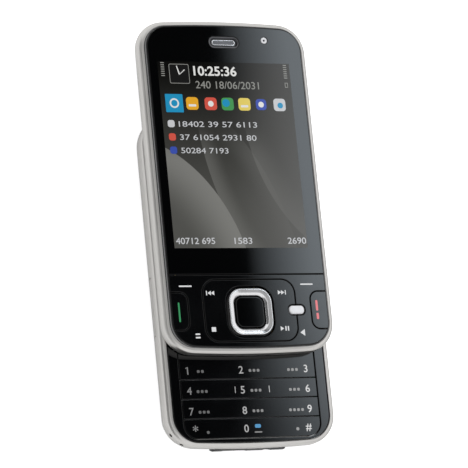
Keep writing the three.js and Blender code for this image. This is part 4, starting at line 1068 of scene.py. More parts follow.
def make_port_block():
    low, high = span("port_block")
    charge = centre("charge_socket")
    lip = low.y + PORT_SLOPE + PORT_LIP
    profile = [(low.y + 0.12, high.z), (low.y, high.z - 0.5), (low.y, PORT_HEIGHT + 0.2),
               (low.y + 0.1, PORT_HEIGHT - 0.5), (low.y + PORT_SLOPE, low.z), (lip, low.z), (lip, FRAME_FOOT),
               (high.y, FRAME_FOOT), (high.y, high.z)]
    shape = cut(lying(profile, low.x, high.x, "X"),
                lying(data_outline(DATA_FIT), low.y - OVERRUN, high.y + OVERRUN, "Y"),
                rod(CHARGE_BORE, 2 * (high.y - low.y + OVERRUN), (charge.x, low.y, charge.z), "Y"))
    piece("port_block_body", soften(shape, 0.12, least=PILL_SHARP), "base", "satin_black", "port_block")


def make_data_socket():
    low, high = span("data_socket")
    middle = (low.x + high.x) / 2
    shell = cut(lying(data_outline(), low.y, high.y, "Y"),
                lying(data_outline(-DATA_WALL), low.y - OVERRUN, high.y - DATA_BACK, "Y"))
    piece("data_socket_shell", shell, "base", "steel", "data_socket")
    tongue = block((low.x + 1.0, low.y + 0.6, PORT_HEIGHT + 0.05),
                   (high.x - 1.0, high.y - 0.2, PORT_HEIGHT + 0.6))
    piece("data_socket_tongue", soften(tongue, 0.08), "base", "plastic")
    places = [middle + (number - CONTACTS // 2) * CONTACT_PITCH for number in range(CONTACTS)]
    contacts = [block((x - 0.2, low.y + 0.8, PORT_HEIGHT - 0.02), (x + 0.2, high.y - 0.6, PORT_HEIGHT + 0.04))
                for x in places]
    piece("data_socket_contacts", add_all(bmesh.new(), *contacts), "base", "gold")


def make_charge_socket():
    low, high = span("charge_socket")
    middle = centre("charge_socket")
    length = high.y - low.y
    floor = length - CHARGE_FLOOR
    section = [(0, length), (CHARGE_MOUTH[0][0], length), *CHARGE_MOUTH, (CHARGE_MOUTH[-1][0], floor),
               (CHARGE_PIN[0][0], floor), *CHARGE_PIN]
    shape = turned(section, (middle.x, low.y, middle.z), "Y")
    piece("charge_socket_body", shape, "base", "steel", "charge_socket")


# Base: number pad and media keys

FIELD_CORNER = 4.0
FIELD_TOP_CORNER = 0.6
BASE_RIM_SIDE = 1.75
BASE_RIM_END = 1.2
MEDIA_CORNER = 1.2
MEDIA_KEY_EDGE = 0.3
ROW_EDGE = 0.1


def field_outline(grow=0.0):
    """Number field: round lower corners, nearly square upper ones."""
    low, high = span("number_row_4")[0], span("number_row_1")[1]
    left, right, bottom, top = low.x - grow, high.x + grow, low.y - grow, high.y + grow
    big, small = FIELD_CORNER + grow, FIELD_TOP_CORNER + grow
    quarter = math.pi / 2
    points = arc(right - small, top - small, small, 0, quarter, KEY_CORNER_STEPS)
    points += arc(left + small, top - small, small, quarter, 2 * quarter, KEY_CORNER_STEPS)
    points += arc(left + big, bottom + big, big, 2 * quarter, 3 * quarter, CORNER_STEPS)
    points += arc(right - big, bottom + big, big, 3 * quarter, 4 * quarter, CORNER_STEPS)
    return points


def pad_slab(node):
    low, high = span(node)
    return slab(base_outline(BASE_RIM_SIDE + SEAM, BASE_RIM_END + SEAM), low.z, high.z)


def make_number_pad():
    low, high = span("keypad_surround")
    shape = split(pad_slab("keypad_surround"), high.y, 1, keep_above=False)
    shape = cut(shape, drill(field_outline(KEY_GAP), low, high))
    shape = soften(shape, KEY_EDGE, height=high.z)
    piece("number_pad_surround", shape, "base", "surround", "keypad_surround")
    for number in range(1, 5):
        name = f"number_row_{number}"
        low, high = span(name)
        shape = slab(field_outline(), low.z, high.z)
        shape = split(shape, low.y + WELD, 1, keep_above=True) if number < 4 else shape
        shape = split(shape, high.y - WELD, 1, keep_above=False) if number > 1 else shape
        piece(f"{name}_keys", soften(shape, ROW_EDGE, height=high.z), name, "key", name)


def make_media_keys():
    low, high = span("media_key_surround")
    shape = split(pad_slab("media_key_surround"), low.y, 1, keep_above=True)
    holes = []
    for number in range(1, 5):
        name = f"media_key_{number}"
        key_low, key_high = span(name)
        holes.append(drill(rounded_box(key_low, key_high, MEDIA_CORNER, SLOT_GAP), low, high))
        cap = slab(rounded_box(key_low, key_high, MEDIA_CORNER), key_low.z, key_high.z)
        piece(f"{name}_cap", soften(cap, MEDIA_KEY_EDGE, height=key_high.z, steps=4), name, "key", name)
    shape = soften(cut(shape, *holes), KEY_EDGE, height=high.z)
    piece("media_key_bezel", shape, "base", "satin_black", "media_key_surround")


SHOE_HEAD = 0.5
DIMPLE_RADIUS = 0.9
DIMPLE_RISE = 0.35
DIMPLE_X = 9.0
DIMPLE_INSET = 8.0


def make_slide():
    low, high = span("slide_plate")
    shape = split(pad_slab("slide_plate"), low.y, 1, keep_above=True)
    shape = split(shape, high.y, 1, keep_above=False)
    places = (low.y + DIMPLE_INSET, (low.y + high.y) / 2, high.y - DIMPLE_INSET)
    dimples = [rod(DIMPLE_RADIUS, OVERRUN, (x, y, high.z + DIMPLE_RISE))
               for x in (-DIMPLE_X, DIMPLE_X) for y in places]
    shape = soften(cut(shape, *dimples), ROW_EDGE, height=high.z)
    piece("slide_track_plate", shape, "base", "satin_black", "slide_plate", slot="chassis_metal")
    for side in ("left", "right"):
        low, high = span(f"slide_shoe_{side}")
        middle = (low.x + high.x) / 2
        foot = block((middle - NECK_WIDTH / 2, low.y, low.z), (middle + NECK_WIDTH / 2, high.y, high.z))
        head = block((low.x, low.y, high.z - SHOE_HEAD), (high.x, high.y, high.z))
        shape = soften(join(foot, head), RAIL_EDGE)
        piece(f"slide_rail_shoe_{side}", shape, "base", "steel", f"slide_shoe_{side}")


# Back of the base

COVER_GRIPS = 5
GRIP_RADIUS = 0.5
GRIP_LENGTH = 16.0
GRIP_INSET = 4.0
GRIP_PITCH = 1.6
GRIP_DROP = 0.3
STAND_CORNER = 4.0
STAND_BAR = 3.0
STAND_EDGE = 0.2
PIN_FIT = 0.15
PIN_EDGE = 0.1
TRAY_WALL = 0.8
TRAY_CORNER = 2.0
TRAY_FLOOR = 1.0
TRAY_FOOT = 0.02
GRILLE_SLOTS = 4
GRILLE_PITCH = 2.6
GRILLE_SLOT = (3.0, 0.9, 0.44, 6)
LENS_RADIUS = 3.6
LENS_OPENING = 4.45
LENS_STEPS = 64
# Radius with its fall from the window's outer face, which looks down, or from its inner face
LENS_RING_SECTION = ((3.35, None), (4.35, None), (4.35, -0.05), (4.15, 0.14), (3.85, 0.18), (3.35, -0.1))
CONE_SECTION = ((3.3, 0.0), (1.5, 0.0), (1.5, 0.2), (1.9, 0.35), (1.9, 0.55), (2.5, 0.7))
CONE_MOUTH = 0.35
CONE_LIP = 0.6
DOME_SECTION = ((0, 0.02), (1.48, 0.02), (1.48, 0.3), (1.3, 0.46), (0.9, 0.62), (0.45, 0.71), (0, 0.74))
WINDOW_EDGE = 0.15
LAMP_CORNER = 0.6
LAMP_FIT = 0.12
LAMP_DROP = 0.08
LAMP_THICKNESS = 1.0
LAMP_RIDGES = 6
RIDGE_PITCH = 0.6
RIDGE_HALF = 0.12
RIDGE_HEIGHT = 0.18
BACK_SEAM = 0.08


def shell_levels():
    outer = [(base_outline(side, end), height) for side, end, height in SHELL_SECTION]
    lift = (SHELL_TOP - SHELL_FLOOR) / SHELL_TOP
    inner = [(base_outline(side + SHELL_WALL, end + SHELL_WALL), SHELL_FLOOR + height * lift)
             for side, end, height in reversed(SHELL_SECTION)]
    return outer + inner


def make_back_shells():
    cover_low, cover_high = span("battery_cover")
    wide = HALF_WIDTH + OVERRUN
    room = block((-wide, cover_low.y - 4 * OVERRUN, -OVERRUN), (wide, cover_high.y, FRAME_FOOT))
    cover = common(skin(shell_levels()), room)
    first_grip = cover_high.y - GRIP_INSET
    grips = [rod(GRIP_RADIUS, GRIP_LENGTH, (0, first_grip - GRIP_PITCH * number, -GRIP_DROP), "X", 24)
             for number in range(COVER_GRIPS)]
    cover = cut(cover, *grips)
    piece("battery_cover_shell", cover, "battery_cover", "back", "battery_cover", sharp=SOFT_SHARP)

    stand_low, stand_high = span("kickstand")
    house_high = span("back_housing")[1]
    room = block((-wide, cover_high.y + BACK_SEAM, -OVERRUN), (wide, house_high.y + 4 * OVERRUN, FRAME_FOOT))
    house = common(skin(shell_levels()), room)
    pocket_depth = stand_high.z + KEY_GAP
    wall = KEY_GAP + TRAY_WALL
    tray_outline = rounded_box(stand_low, stand_high, TRAY_CORNER - wall, wall)
    tray = slab(tray_outline, TRAY_FOOT, pocket_depth + TRAY_FLOOR)
    pocket = slab(rounded_box(stand_low, stand_high, STAND_CORNER, KEY_GAP), -OVERRUN, pocket_depth)
    relief_block = block((stand_low.x - KEY_GAP, stand_low.y - KEY_GAP, -OVERRUN),
                         (stand_low.x + stand_high.z + KEY_GAP, stand_high.y + KEY_GAP, pocket_depth))
    middle = centre("camera_module")
    lens = rod(LENS_RADIUS + KEY_GAP, 4 * TRAY_FLOOR, (middle.x, middle.y, pocket_depth + TRAY_FLOOR / 2))
    lamp_low, lamp_high = span("flash_lamp")
    lamp = block((lamp_low.x - KEY_GAP, lamp_low.y - KEY_GAP, pocket_depth - OVERRUN),
                 (lamp_high.x + KEY_GAP, lamp_high.y + KEY_GAP, pocket_depth + TRAY_FLOOR + OVERRUN))
    slots = []
    for name in ("speaker_left", "speaker_right"):
        speaker = centre(name)
        for number in range(GRILLE_SLOTS):
            y = speaker.y + (number - (GRILLE_SLOTS - 1) / 2) * GRILLE_PITCH
            slots.append(slab(rounded(speaker.x, y, *GRILLE_SLOT), -OVERRUN, SHELL_TOP))
    house = cut(join(house, tray), pocket, relief_block, lens, lamp, *slots)
    piece("camera_housing_shell", house, "base", "back", "back_housing", sharp=SOFT_SHARP)


def make_stand():
    low, high = span("kickstand")
    outer = slab(rounded_box(low, high, STAND_CORNER), low.z, high.z)
    opening = drill(rounded_box(low, high, STAND_CORNER + STAND_BAR / 2, -STAND_BAR), low, high)
    pivot = (low.x + high.z / 2, (low.y + high.y) / 2, high.z / 2)
    corner_block = block((low.x - OVERRUN, low.y - OVERRUN, low.z - OVERRUN),
                         (pivot[0], high.y + OVERRUN, high.z + OVERRUN))
    edge = common(slab(rounded_box(low, high, STAND_CORNER), low.z, high.z),
                  rod(high.z / 2, high.y - low.y + OVERRUN, pivot, "Y"))
    shape = join(cut(outer, corner_block, opening), edge)
    shape = soften(shape, STAND_EDGE, least=math.radians(75),
                   chosen=lambda line: all(corner.co.x > pivot[0] + STAND_EDGE / 4 for corner in line.verts))
    pin_low, pin_high = span("kickstand_pin")
    radius = (pin_high.x - pin_low.x) / 2
    shape = cut(shape, rod(radius + PIN_FIT, high.y - low.y + OVERRUN, pivot, "Y", 24))
    piece("kickstand_hoop", shape, "kickstand", "steel", "kickstand", sharp=math.radians(30))
    half = (pin_high.y - pin_low.y) / 2
    pin_section = [(0, -half), (radius - PIN_EDGE, -half), (radius, PIN_EDGE - half),
                   (radius, half - PIN_EDGE), (radius - PIN_EDGE, half), (0, half)]
    pin = turned(pin_section, pivot, "Y", 24)
    piece("kickstand_hinge_pin", pin, "base", "steel", "kickstand_pin")


def make_camera():
    low, high = span("camera_window")
    middle = centre("camera_module")
    lamp_low, lamp_high = span("flash_lamp")
    plate = slab(rounded_box(low, high, STAND_CORNER - STAND_BAR / 2 - KEY_GAP), low.z, high.z)
    lamp_hole = drill(rounded_box(lamp_low, lamp_high, LAMP_CORNER, LAMP_FIT), low, high)
    plate = cut(plate, rod(LENS_OPENING, 2 * high.z + OVERRUN, (middle.x, middle.y, 0)), lamp_hole)
    plate = soften(plate, WINDOW_EDGE, height=low.z)
    piece("camera_window_plate", plate, "base", "lens", "camera_window")

    def round_piece(name, section, finish, slot=None):
        piece(name, turned(section, (middle.x, middle.y, 0), steps=LENS_STEPS), "base", finish, slot=slot)

    round_piece("camera_lens_ring", heights(LENS_RING_SECTION, low.z, high.z), "steel", "bright_trim")
    inner = heights(CONE_SECTION, high.z)
    cone = [(inner[0][0], low.z + CONE_MOUTH), *inner, (inner[-1][0], low.z + CONE_LIP)]
    round_piece("camera_lens_cone", cone, "satin_black")
    round_piece("camera_lens_dome", heights(DOME_SECTION, high.z), "lens")
    cover = slab(rounded_box(lamp_low, lamp_high, LAMP_CORNER), low.z + LAMP_DROP, low.z + LAMP_THICKNESS)
    ridges = [block((lamp_low.x - OVERRUN, y - RIDGE_HALF, low.z),
                    (lamp_high.x + OVERRUN, y + RIDGE_HALF, low.z + RIDGE_HEIGHT))
              for y in [lamp_low.y + RIDGE_PITCH + RIDGE_PITCH * number for number in range(LAMP_RIDGES)]]
    piece("flash_cover", cut(cover, *ridges), "base", "lamp")


make_slider_frame()
make_slider_back()
make_glass()
make_earpiece()
make_self_camera()
make_keys()
make_navigation()
make_base_frame()
make_edge_keys()
make_audio_socket()
make_port_block()
make_data_socket()
make_charge_socket()
make_number_pad()
make_media_keys()
make_slide()
make_back_shells()
make_stand()
make_camera()

# Prints

CAP_TO_SIZE = 1.38
LABEL_WEIGHT = 0.012
FINE_WEIGHT = 0.004


def bar(x, y, width, length, low, corner=0.0):
    points = rounded(x, y, width, length, corner, 5) if corner else [
        (x - width / 2, y - length / 2), (x + width / 2, y - length / 2),
        (x + width / 2, y + length / 2), (x - width / 2, y + length / 2)]
    return slab(points, low, low + PRINT)


def wedge(x, y, width, length, way, low):
    """Triangle that points left (-1) or right (1)."""
    back = x - way * width / 2
    return slab([(back, y - length / 2), (x + way * width / 2, y), (back, y + length / 2)], low, low + PRINT)


def disc(x, y, radius, low, steps=24):
    return slab(arc(x, y, radius, 0, 2 * math.pi, steps)[:-1], low, low + PRINT)


def sign(text, x, y, height, low, weight=LABEL_WEIGHT):
    """Digits as a thin print, centred at a point."""
    curve = bpy.data.curves.new("sign", "FONT")
    curve.body = text
    curve.size = height * CAP_TO_SIZE
    curve.align_x = "CENTER"
    curve.extrude = PRINT / 2
    curve.offset = weight * height
    curve.resolution_u = 4
    thing = bpy.data.objects.new("sign", curve)
    bpy.context.scene.collection.objects.link(thing)
    bpy.context.view_layer.update()
    mesh = bpy.data.meshes.new_from_object(thing.evaluated_get(bpy.context.evaluated_depsgraph_get()))
    shape = bmesh.new()
    shape.from_mesh(mesh)
    bpy.data.objects.remove(thing)
    bpy.data.curves.remove(curve)
    bpy.data.meshes.remove(mesh)
    bmesh.ops.remove_doubles(shape, verts=shape.verts, dist=WELD)
    move(shape, x, y - height / 2, low + PRINT / 2)
    return shape


def printed(name, body, finish, *shapes):
    piece(name, add_all(bmesh.new(), *shapes), body, finish)


def make_key_marks():
    """Marks on the slider's keys and panel, each with its place along the slider's own length."""
    def strokes(*rows):
        return [bar(x, SLIDER_Y + y, width, length, FACE_TOP, corner) for x, y, width, length, corner in rows]

    def points(*rows):
        return [wedge(x, SLIDER_Y + y, width, length, way, FACE_TOP) for x, y, width, length, way in rows]

    printed("left_function_marks", "left_function_key", "white", *strokes(
        (-19.95, -30.9, 4.05, 0.42, 0.2), (-17.4, -45.2, 1.5, 0.45, 0.2), (-17.4, -46.2, 1.5, 0.45, 0.2)))
    printed("right_function_marks", "right_function_key", "white",
            *strokes((18.85, -30.6, 4.05, 0.42, 0.2)), *points((16.05, -45.15, 1.5, 2.05, -1)))
    printed("call_mark", "call_key", "green", *strokes((-22.55, -38.65, 0.52, 5.8, 0.25)))
    printed("end_mark", "end_key", "red",
            *strokes((21.5, -37.05, 0.7, 3.2, 0.3), (21.5, -40.25, 0.75, 1.9, 0.3)))
    printed("playback_marks", "slider", "white",
            *points((-11.55, -33.0, 1.05, 1.35, -1), (-12.6, -33.0, 1.05, 1.35, -1)),
            *strokes((-13.45, -33.0, 0.3, 1.35, 0)),
            *points((9.85, -33.0, 1.05, 1.35, 1), (10.9, -33.0, 1.05, 1.35, 1)),
            *strokes((11.75, -33.0, 0.3, 1.35, 0), (-12.2, -43.85, 1.35, 1.35, 0)),
            *points((9.65, -43.85, 1.1, 1.4, 1)),
            *strokes((10.8, -43.85, 0.42, 1.35, 0), (11.6, -43.85, 0.42, 1.35, 0)))


DIGIT_HEIGHT = 2.3
STAR_HEIGHT = 2.9
STAR_DROP = 0.25
DASH_PITCH = 1.3
DASH_SIZE = 0.85
# The small dashes beside each digit: how far aside and how many, a row of digits a line
DASH_ROWS = (
    ((4.0, 2), (4.2, 3), (-4.3, 3)),
    ((4.0, 3), (4.2, 3), (-4.3, 3)),
    ((4.0, 3), (4.2, 3), (-4.3, 4)),
)
DASH_DROP = 0.3
# Corners of the flag at the upper end of the one
FLAG = ((-0.62, 0.5), (-0.1, 0.85), (-0.1, 1.12), (-0.62, 0.74))
DIGIT_ROWS = (("1", "2", "3"), ("4", "5", "6"), ("7", "8", "9"), ("*", "0", "#"))
DIGIT_X = ((-19.1, -2.2, 18.7), (-19.1, -2.2, 18.7), (-19.1, -2.2, 18.7), (-18.3, -2.2, 17.8))
DIGIT_Y = (23.0, 17.05, 10.95, 5.55)


def small_dashes(x, y, count, low):
    """Row of small plain dashes beside a digit."""
    places = [x + (number - (count - 1) / 2) * DASH_PITCH for number in range(count)]
    return [bar(place, y, DASH_SIZE, DASH_SIZE, low, 0.3) for place in places]


def make_digits():
    for number, (digits, places, y) in enumerate(zip(DIGIT_ROWS, DIGIT_X, DIGIT_Y), start=1):
        name = f"number_row_{number}"
        low = span(name)[1].z
        y += BASE_Y - BASE_LENGTH / 2
        left, middle, right = places
        shapes = [sign(digit, x, y - STAR_DROP, STAR_HEIGHT, low) if digit == "*" else
                  sign(digit, x, y, DIGIT_HEIGHT, low) for digit, x in zip(digits, places)]
        if number == 1:
            flag = [(left + dx, y + dy) for dx, dy in FLAG]
            shapes.append(slab(flag, low, low + PRINT))
        if number == 2:
            shapes += [bar(x, y, 0.22, 2.0, low, 0.1) for x in (-4.6, 6.3)]
        printed(f"{name}_digits", name, "digit", *shapes)
        if number < 4:
            small = []
            for x, (aside, count) in zip(places, DASH_ROWS[number - 1]):
                small += small_dashes(x + aside, y - DASH_DROP, count, low)
        else:
            small = [disc(left + 3.9, y - 0.9, 0.45, low), bar(middle + 3.7, y - 1.2, 2.4, 0.4, low, 0.15),
                     disc(right - 3.6, y - 0.6, 0.5, low)]
        printed(f"{name}_small_marks", name, "letter", *small)
        if number == 4:
            printed(f"{name}_blue_mark", name, "blue", bar(middle + 3.7, y + 0.6, 1.9, 1.1, low, 0.4))


def make_media_marks():
    for number, kind in enumerate(("back", "stop", "play", "next"), start=1):
        name = f"media_key_{number}"
        x, y, _ = centre(name)
        low = span(name)[1].z
        if kind == "stop":
            shapes = [bar(x, y, 1.5, 1.5, low)]
        elif kind == "play":
            shapes = [wedge(x - 0.8, y, 1.3, 1.7, 1, low), bar(x + 0.5, y, 0.4, 1.6, low),
                      bar(x + 1.3, y, 0.4, 1.6, low)]
        else:
            way = 1 if kind == "next" else -1
            shapes = [wedge(x + way * aside, y, 1.1, 1.5, way, low) for aside in (-0.9, 0.2)]
            shapes.append(bar(x + way * 0.95, y, 0.3, 1.5, low))
        printed(f"{name}_mark", name, "white", *shapes)


# Display: a plain home screen of digits, tiles and dashes

PICTURE_WIDTH, PICTURE_LENGTH = 42.67, 56.9
PICTURE_X, PICTURE_Y = -0.8, SLIDER_Y + 8.95
PICTURE_LEFT, PICTURE_RIGHT = PICTURE_X - PICTURE_WIDTH / 2, PICTURE_X + PICTURE_WIDTH / 2
PICTURE_BOTTOM, PICTURE_TOP = PICTURE_Y - PICTURE_LENGTH / 2, PICTURE_Y + PICTURE_LENGTH / 2
# Foot of each layer of the picture's parts
LAYER_ONE, LAYER_TWO, LAYER_THREE = [FACE_TOP + PRINT / 2 * number for number in (1, 2, 3)]
STATUS_STEPS = 7
STATUS_PITCH = 0.66
STATUS_INSET = 1.5
STATUS_DROP = 0.5
BATTERY_DROP = 6.7
# Lines at the top: colour, digits, start and end across, fall below the top, height and weight
STATUS_LINES = (("snow", "10:25:36", 11.3, 25.2, 2.7, 2.9, 0.03),
                ("ash", "240 18/06/2031", 11.6, 32.1, 7.0, 2.35, FINE_WEIGHT))
CLOCK_SIZE = (6.4, 6.05)
CLOCK_LINE = 0.36
CLOCK_HANDS = (((-0.15, -0.3), (0.2, -0.2), (1.9, 1.2), (1.7, 1.4)),
               ((-0.2, -0.2), (0.2, -0.1), (-0.6, 2.5), (-0.85, 2.4)))
TILE_DROP = 12.9
TILE_INSET = 2.3
TILE_SIZES = (5.6, 3.9, 3.9, 3.9, 3.9, 3.4, 3.9)
TILE_NUDGES = (-0.8, -0.5, 0.0, 0.0, 0.0, 0.0, 0.6)
# Lines of the list: the tile's colour, the digits and where they end
LIST_LINES = (("mist", "18402 39 57 6113", 30.2), ("coral", "37 61054 2931 80", 29.6),
              ("indigo", "50284 7193", 20.1))
LIST_DROP = 19.2
LIST_PITCH = 4.05
LABELS = (("40712 695", PICTURE_LEFT + 0.6, PICTURE_LEFT + 13.0),
          ("1583", PICTURE_LEFT + 19.2, PICTURE_LEFT + 24.9),
          ("2690", PICTURE_RIGHT - 6.3, PICTURE_RIGHT - 0.3))
LABEL_RISE = 2.2
PARTS_COLOURS = (
    ("azure", (0.02, 0.3, 0.55)), ("amber", (0.85, 0.42, 0.03)), ("coral", (0.68, 0.1, 0.07)),
    ("leaf", (0.07, 0.33, 0.1)), ("lemon", (0.83, 0.66, 0.14)), ("indigo", (0.05, 0.09, 0.45)),
    ("mist", (0.62, 0.63, 0.65)), ("snow", (0.83, 0.83, 0.81)), ("ash", (0.3, 0.3, 0.28)),
    ("night", (0.012, 0.012, 0.012)),
)


def lit_coat(name, colour):
    """Lit picture element behind the glass: even colour, with the glass's own gloss."""
    material, tree, shader = bare(f"lit_{name}", Roughness=0.07, IOR=1.3)
    where = place_on(tree)
    dark = [0.82 * value for value in colour]
    shade = blend(tree, grain(tree, where, 7000.0), tone(*colour), tone(*dark))
    wire(tree, shader, Base_Color=shade)
    return material


def fitted(text, start, end, y, height, low, weight):
    """Digits drawn between two places across the display."""
    shape = sign(text, 0.0, y, height, low, weight=weight)
    places = [corner.co.x for corner in shape.verts]
    first, last = min(places), max(places)
    move(shape, -first, 0, 0)
    stretch(shape, (end - start) / (last - first), 1, 1)
    move(shape, start, 0, 0)
    return shape


def outline_box(x, y, width, length, line, low):
    """Thin rectangle drawn as four bars."""
    across, along = (width - line) / 2, (length - line) / 2
    bars = [bar(x, y + side * along, width, line, low) for side in (-1, 1)]
    return bars + [bar(x + side * across, y, line, length - 2 * line, low) for side in (-1, 1)]


def status_parts():
    """Two ladders of short bars, the battery's outline, and the lines with the time and the date."""
    for x in (PICTURE_LEFT + STATUS_INSET, PICTURE_RIGHT - STATUS_INSET):
        for number in range(STATUS_STEPS):
            y = PICTURE_TOP - STATUS_DROP - STATUS_PITCH * number
            yield "ash", bar(x, y, 1.1, 0.28, LAYER_ONE)
    battery_y = PICTURE_TOP - BATTERY_DROP
    for shape in outline_box(PICTURE_RIGHT - STATUS_INSET, battery_y, 1.0, 1.5, 0.2, LAYER_ONE):
        yield "ash", shape
    for colour, digits, start, end, drop, height, weight in STATUS_LINES:
        yield colour, fitted(digits, PICTURE_LEFT + start, PICTURE_LEFT + end, PICTURE_TOP - drop, height,
                             LAYER_ONE, weight)


def clock_parts():
    x, y = PICTURE_LEFT + 6.7, PICTURE_TOP - 3.8
    width, length = CLOCK_SIZE
    yield "ash", bar(x, y, width, length, LAYER_ONE, 0.5)
    yield "night", bar(x, y, width - CLOCK_LINE, length - CLOCK_LINE, LAYER_TWO, 0.4)
    for hand in CLOCK_HANDS:
        yield "snow", slab([(x + dx, y + dy) for dx, dy in hand], LAYER_THREE, LAYER_THREE + PRINT)


def tile_parts():
    """Row of tiles, each with a plain disc or bar on it."""
    y = PICTURE_TOP - TILE_DROP
    names = [name for name, _ in PARTS_COLOURS[:len(TILE_SIZES)]]
    pitch = (PICTURE_WIDTH - 2 * TILE_INSET) / len(names)
    for number, (name, size, nudge) in enumerate(zip(names, TILE_SIZES, TILE_NUDGES)):
        x = PICTURE_LEFT + TILE_INSET + pitch * (number + 0.5) + nudge
        yield name, bar(x, y, size, size, LAYER_ONE, 0.25 if number == 0 else 1.0)
        if number == 0:
            yield "snow", disc(x, y, 1.5, LAYER_TWO)
            yield "azure", disc(x, y, 1.0, LAYER_THREE)
        elif number in (1, 4):
            yield "snow", bar(x, y - 0.6, 2.4, 0.7, LAYER_TWO, 0.2)
        elif number in (2, 5):
            yield "snow", disc(x, y, 0.9, LAYER_TWO)
        elif number == 3:
            yield "azure", disc(x - 0.5, y + 0.3, 1.2, LAYER_TWO)
        else:
            yield "azure", disc(x + 0.2, y - 0.2, 0.9, LAYER_TWO)


def line_parts():
    for number, (name, digits, end) in enumerate(LIST_LINES):
        y = PICTURE_TOP - LIST_DROP - LIST_PITCH * number
        yield name, bar(PICTURE_LEFT + 2.6, y, 2.2, 2.2, LAYER_ONE, 0.7)
        yield "mist", fitted(digits, PICTURE_LEFT + 5.0, PICTURE_LEFT + end, y, 1.75, LAYER_ONE, FINE_WEIGHT)
    for digits, start, end in LABELS:
        yield "mist", fitted(digits, start, end, PICTURE_BOTTOM + LABEL_RISE, 1.95, LAYER_ONE, LABEL_WEIGHT)


def make_display():
    plate = bar(PICTURE_X, PICTURE_Y, PICTURE_WIDTH, PICTURE_LENGTH, FACE_TOP - PRINT / 2)
    coats["picture"] = wallpaper_coat((PICTURE_LEFT, PICTURE_BOTTOM), (PICTURE_RIGHT, PICTURE_TOP))
    piece("display_picture", plate, "slider", "picture", slot="display")
    lit = {name: [] for name, _ in PARTS_COLOURS}
    for name, shape in (*status_parts(), *clock_parts(), *tile_parts(), *line_parts()):
        lit[name].append(shape)
    for name, colour in PARTS_COLOURS:
        coats[name] = lit_coat(name, colour)
        piece(f"display_{name}_parts", add_all(bmesh.new(), *lit[name]), "slider", name, slot="display")


make_key_marks()
make_digits()
make_media_marks()
make_display()

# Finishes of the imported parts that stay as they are

KEPT_FINISHES = {
    "base_chassis": "satin_black", "main_board": "board", "battery": "battery", "sim_card": "gold",
    "card_socket": "steel", "memory_card": "plastic", "speaker_left": "plastic", "speaker_right": "plastic",
    "vibration_motor": "steel", "base_screw_left": "steel", "base_screw_right": "steel",
    "number_dome_sheet": "film", "earpiece": "steel", "key_board": "key_board", "nav_pad": "satin_black",
    "display_module": "plastic", "camera_module": "plastic", "flash_lamp": "lamp",
}
for name, node in frame["nodes"].items():
    if node.hide_render:
        continue
    node.data.materials.clear()
    node.data.materials.append(coats[KEPT_FINISHES[name]])

# Studio: pale floor, white surroundings for the eye and for reflections, even light for surfaces

FLOOR_SIZE = 6.0
SKY_FOR_SURFACES = 0.72
FLOOR_GLOW = 0.62
FLOOR_SHEEN = 0.12
# Cards: middle, width and length, in metres. The overhead card lights the right of the phone, the roof card
# the sloped rims and the dished ring, the side card the slider's left chamfer, the floor card the right rims.
OVERHEAD_STAND = (0.1475, 0.08, 0.35, 0.125, 0.25)
ROOF_STAND = (0.0, 0.05, 0.36, 0.4, 0.5)
SIDE_STAND = (-0.5, -0.125, 0.22, 0.26, 1.35)
FLOOR_CARD_STAND = (0.17, 0.02, 0.0004, 0.25, 0.5)
OVERHEAD_TONE = (0.84, 0.93, 1.0)
OVERHEAD_BRIGHT = 4.1
OVERHEAD_DARK = 0.012
OVERHEAD_SLANT = 0.038
OVERHEAD_EDGE = (0.1525, 0.184)
OVERHEAD_FADE = (-0.03, 0.06)
OVERHEAD_FADED = 0.4
ROOF_STRENGTH = 0.43
# Heights where the side card starts and stops fading, and its strengths there
SIDE_FADE = (0.09, 0.16, 0.3, 0.12)
FLOOR_CARD_STRENGTH = 0.62
SOFT_BOX_PLACE = (0.35, 0.45, 1.1)
SOFT_BOX_SIZE = 0.9
SOFT_BOX_POWER = 4.6
FLOOR_TONE = 0.9
FLOOR_DROP = 0.0003


def seen_white(tree):
    """One for what the eye, a gloss or a clear part sees, zero for light on surfaces."""
    path = add(tree, "ShaderNodeLightPath")
    seen = maths(tree, "MAXIMUM", path.outputs["Is Camera Ray"], path.outputs["Is Glossy Ray"])
    return maths(tree, "MAXIMUM", seen, path.outputs["Is Transmission Ray"])


def make_world():
    world = bpy.data.worlds.new("studio")
    world.use_nodes = True
    bpy.context.scene.world = world
    tree = world.node_tree
    background = tree.nodes["Background"]
    background.inputs["Color"].default_value = (1, 1, 1, 1)
    share = seen_white(tree)
    strength = add(tree, "ShaderNodeMapRange", {"Value": share, "To Min": SKY_FOR_SURFACES, "To Max": 1.0})
    tree.links.new(strength.outputs["Result"], background.inputs["Strength"])


def make_floor():
    bpy.ops.mesh.primitive_plane_add(size=FLOOR_SIZE, location=(0, 0, -FLOOR_DROP))
    floor = bpy.context.object
    floor.name = "studio_floor"
    material = bpy.data.materials.new("studio_floor")
    material.use_nodes = True
    tree = material.node_tree
    tree.nodes.clear()
    diffuse = add(tree, "ShaderNodeBsdfDiffuse", {"Color": tone(FLOOR_TONE, FLOOR_TONE, FLOOR_TONE)})
    eye = add(tree, "ShaderNodeLightPath").outputs["Is Camera Ray"]
    sheen = maths(tree, "MULTIPLY", seen_white(tree), FLOOR_SHEEN)
    strength = maths(tree, "MULTIPLY_ADD", eye, FLOOR_GLOW, sheen)
    glow = add(tree, "ShaderNodeEmission", {"Color": tone(1, 1, 1), "Strength": strength})
    both = add(tree, "ShaderNodeAddShader", {0: diffuse.outputs[0], 1: glow.outputs[0]})
    add(tree, "ShaderNodeOutputMaterial", {"Surface": both.outputs[0]})
    floor.data.materials.append(material)


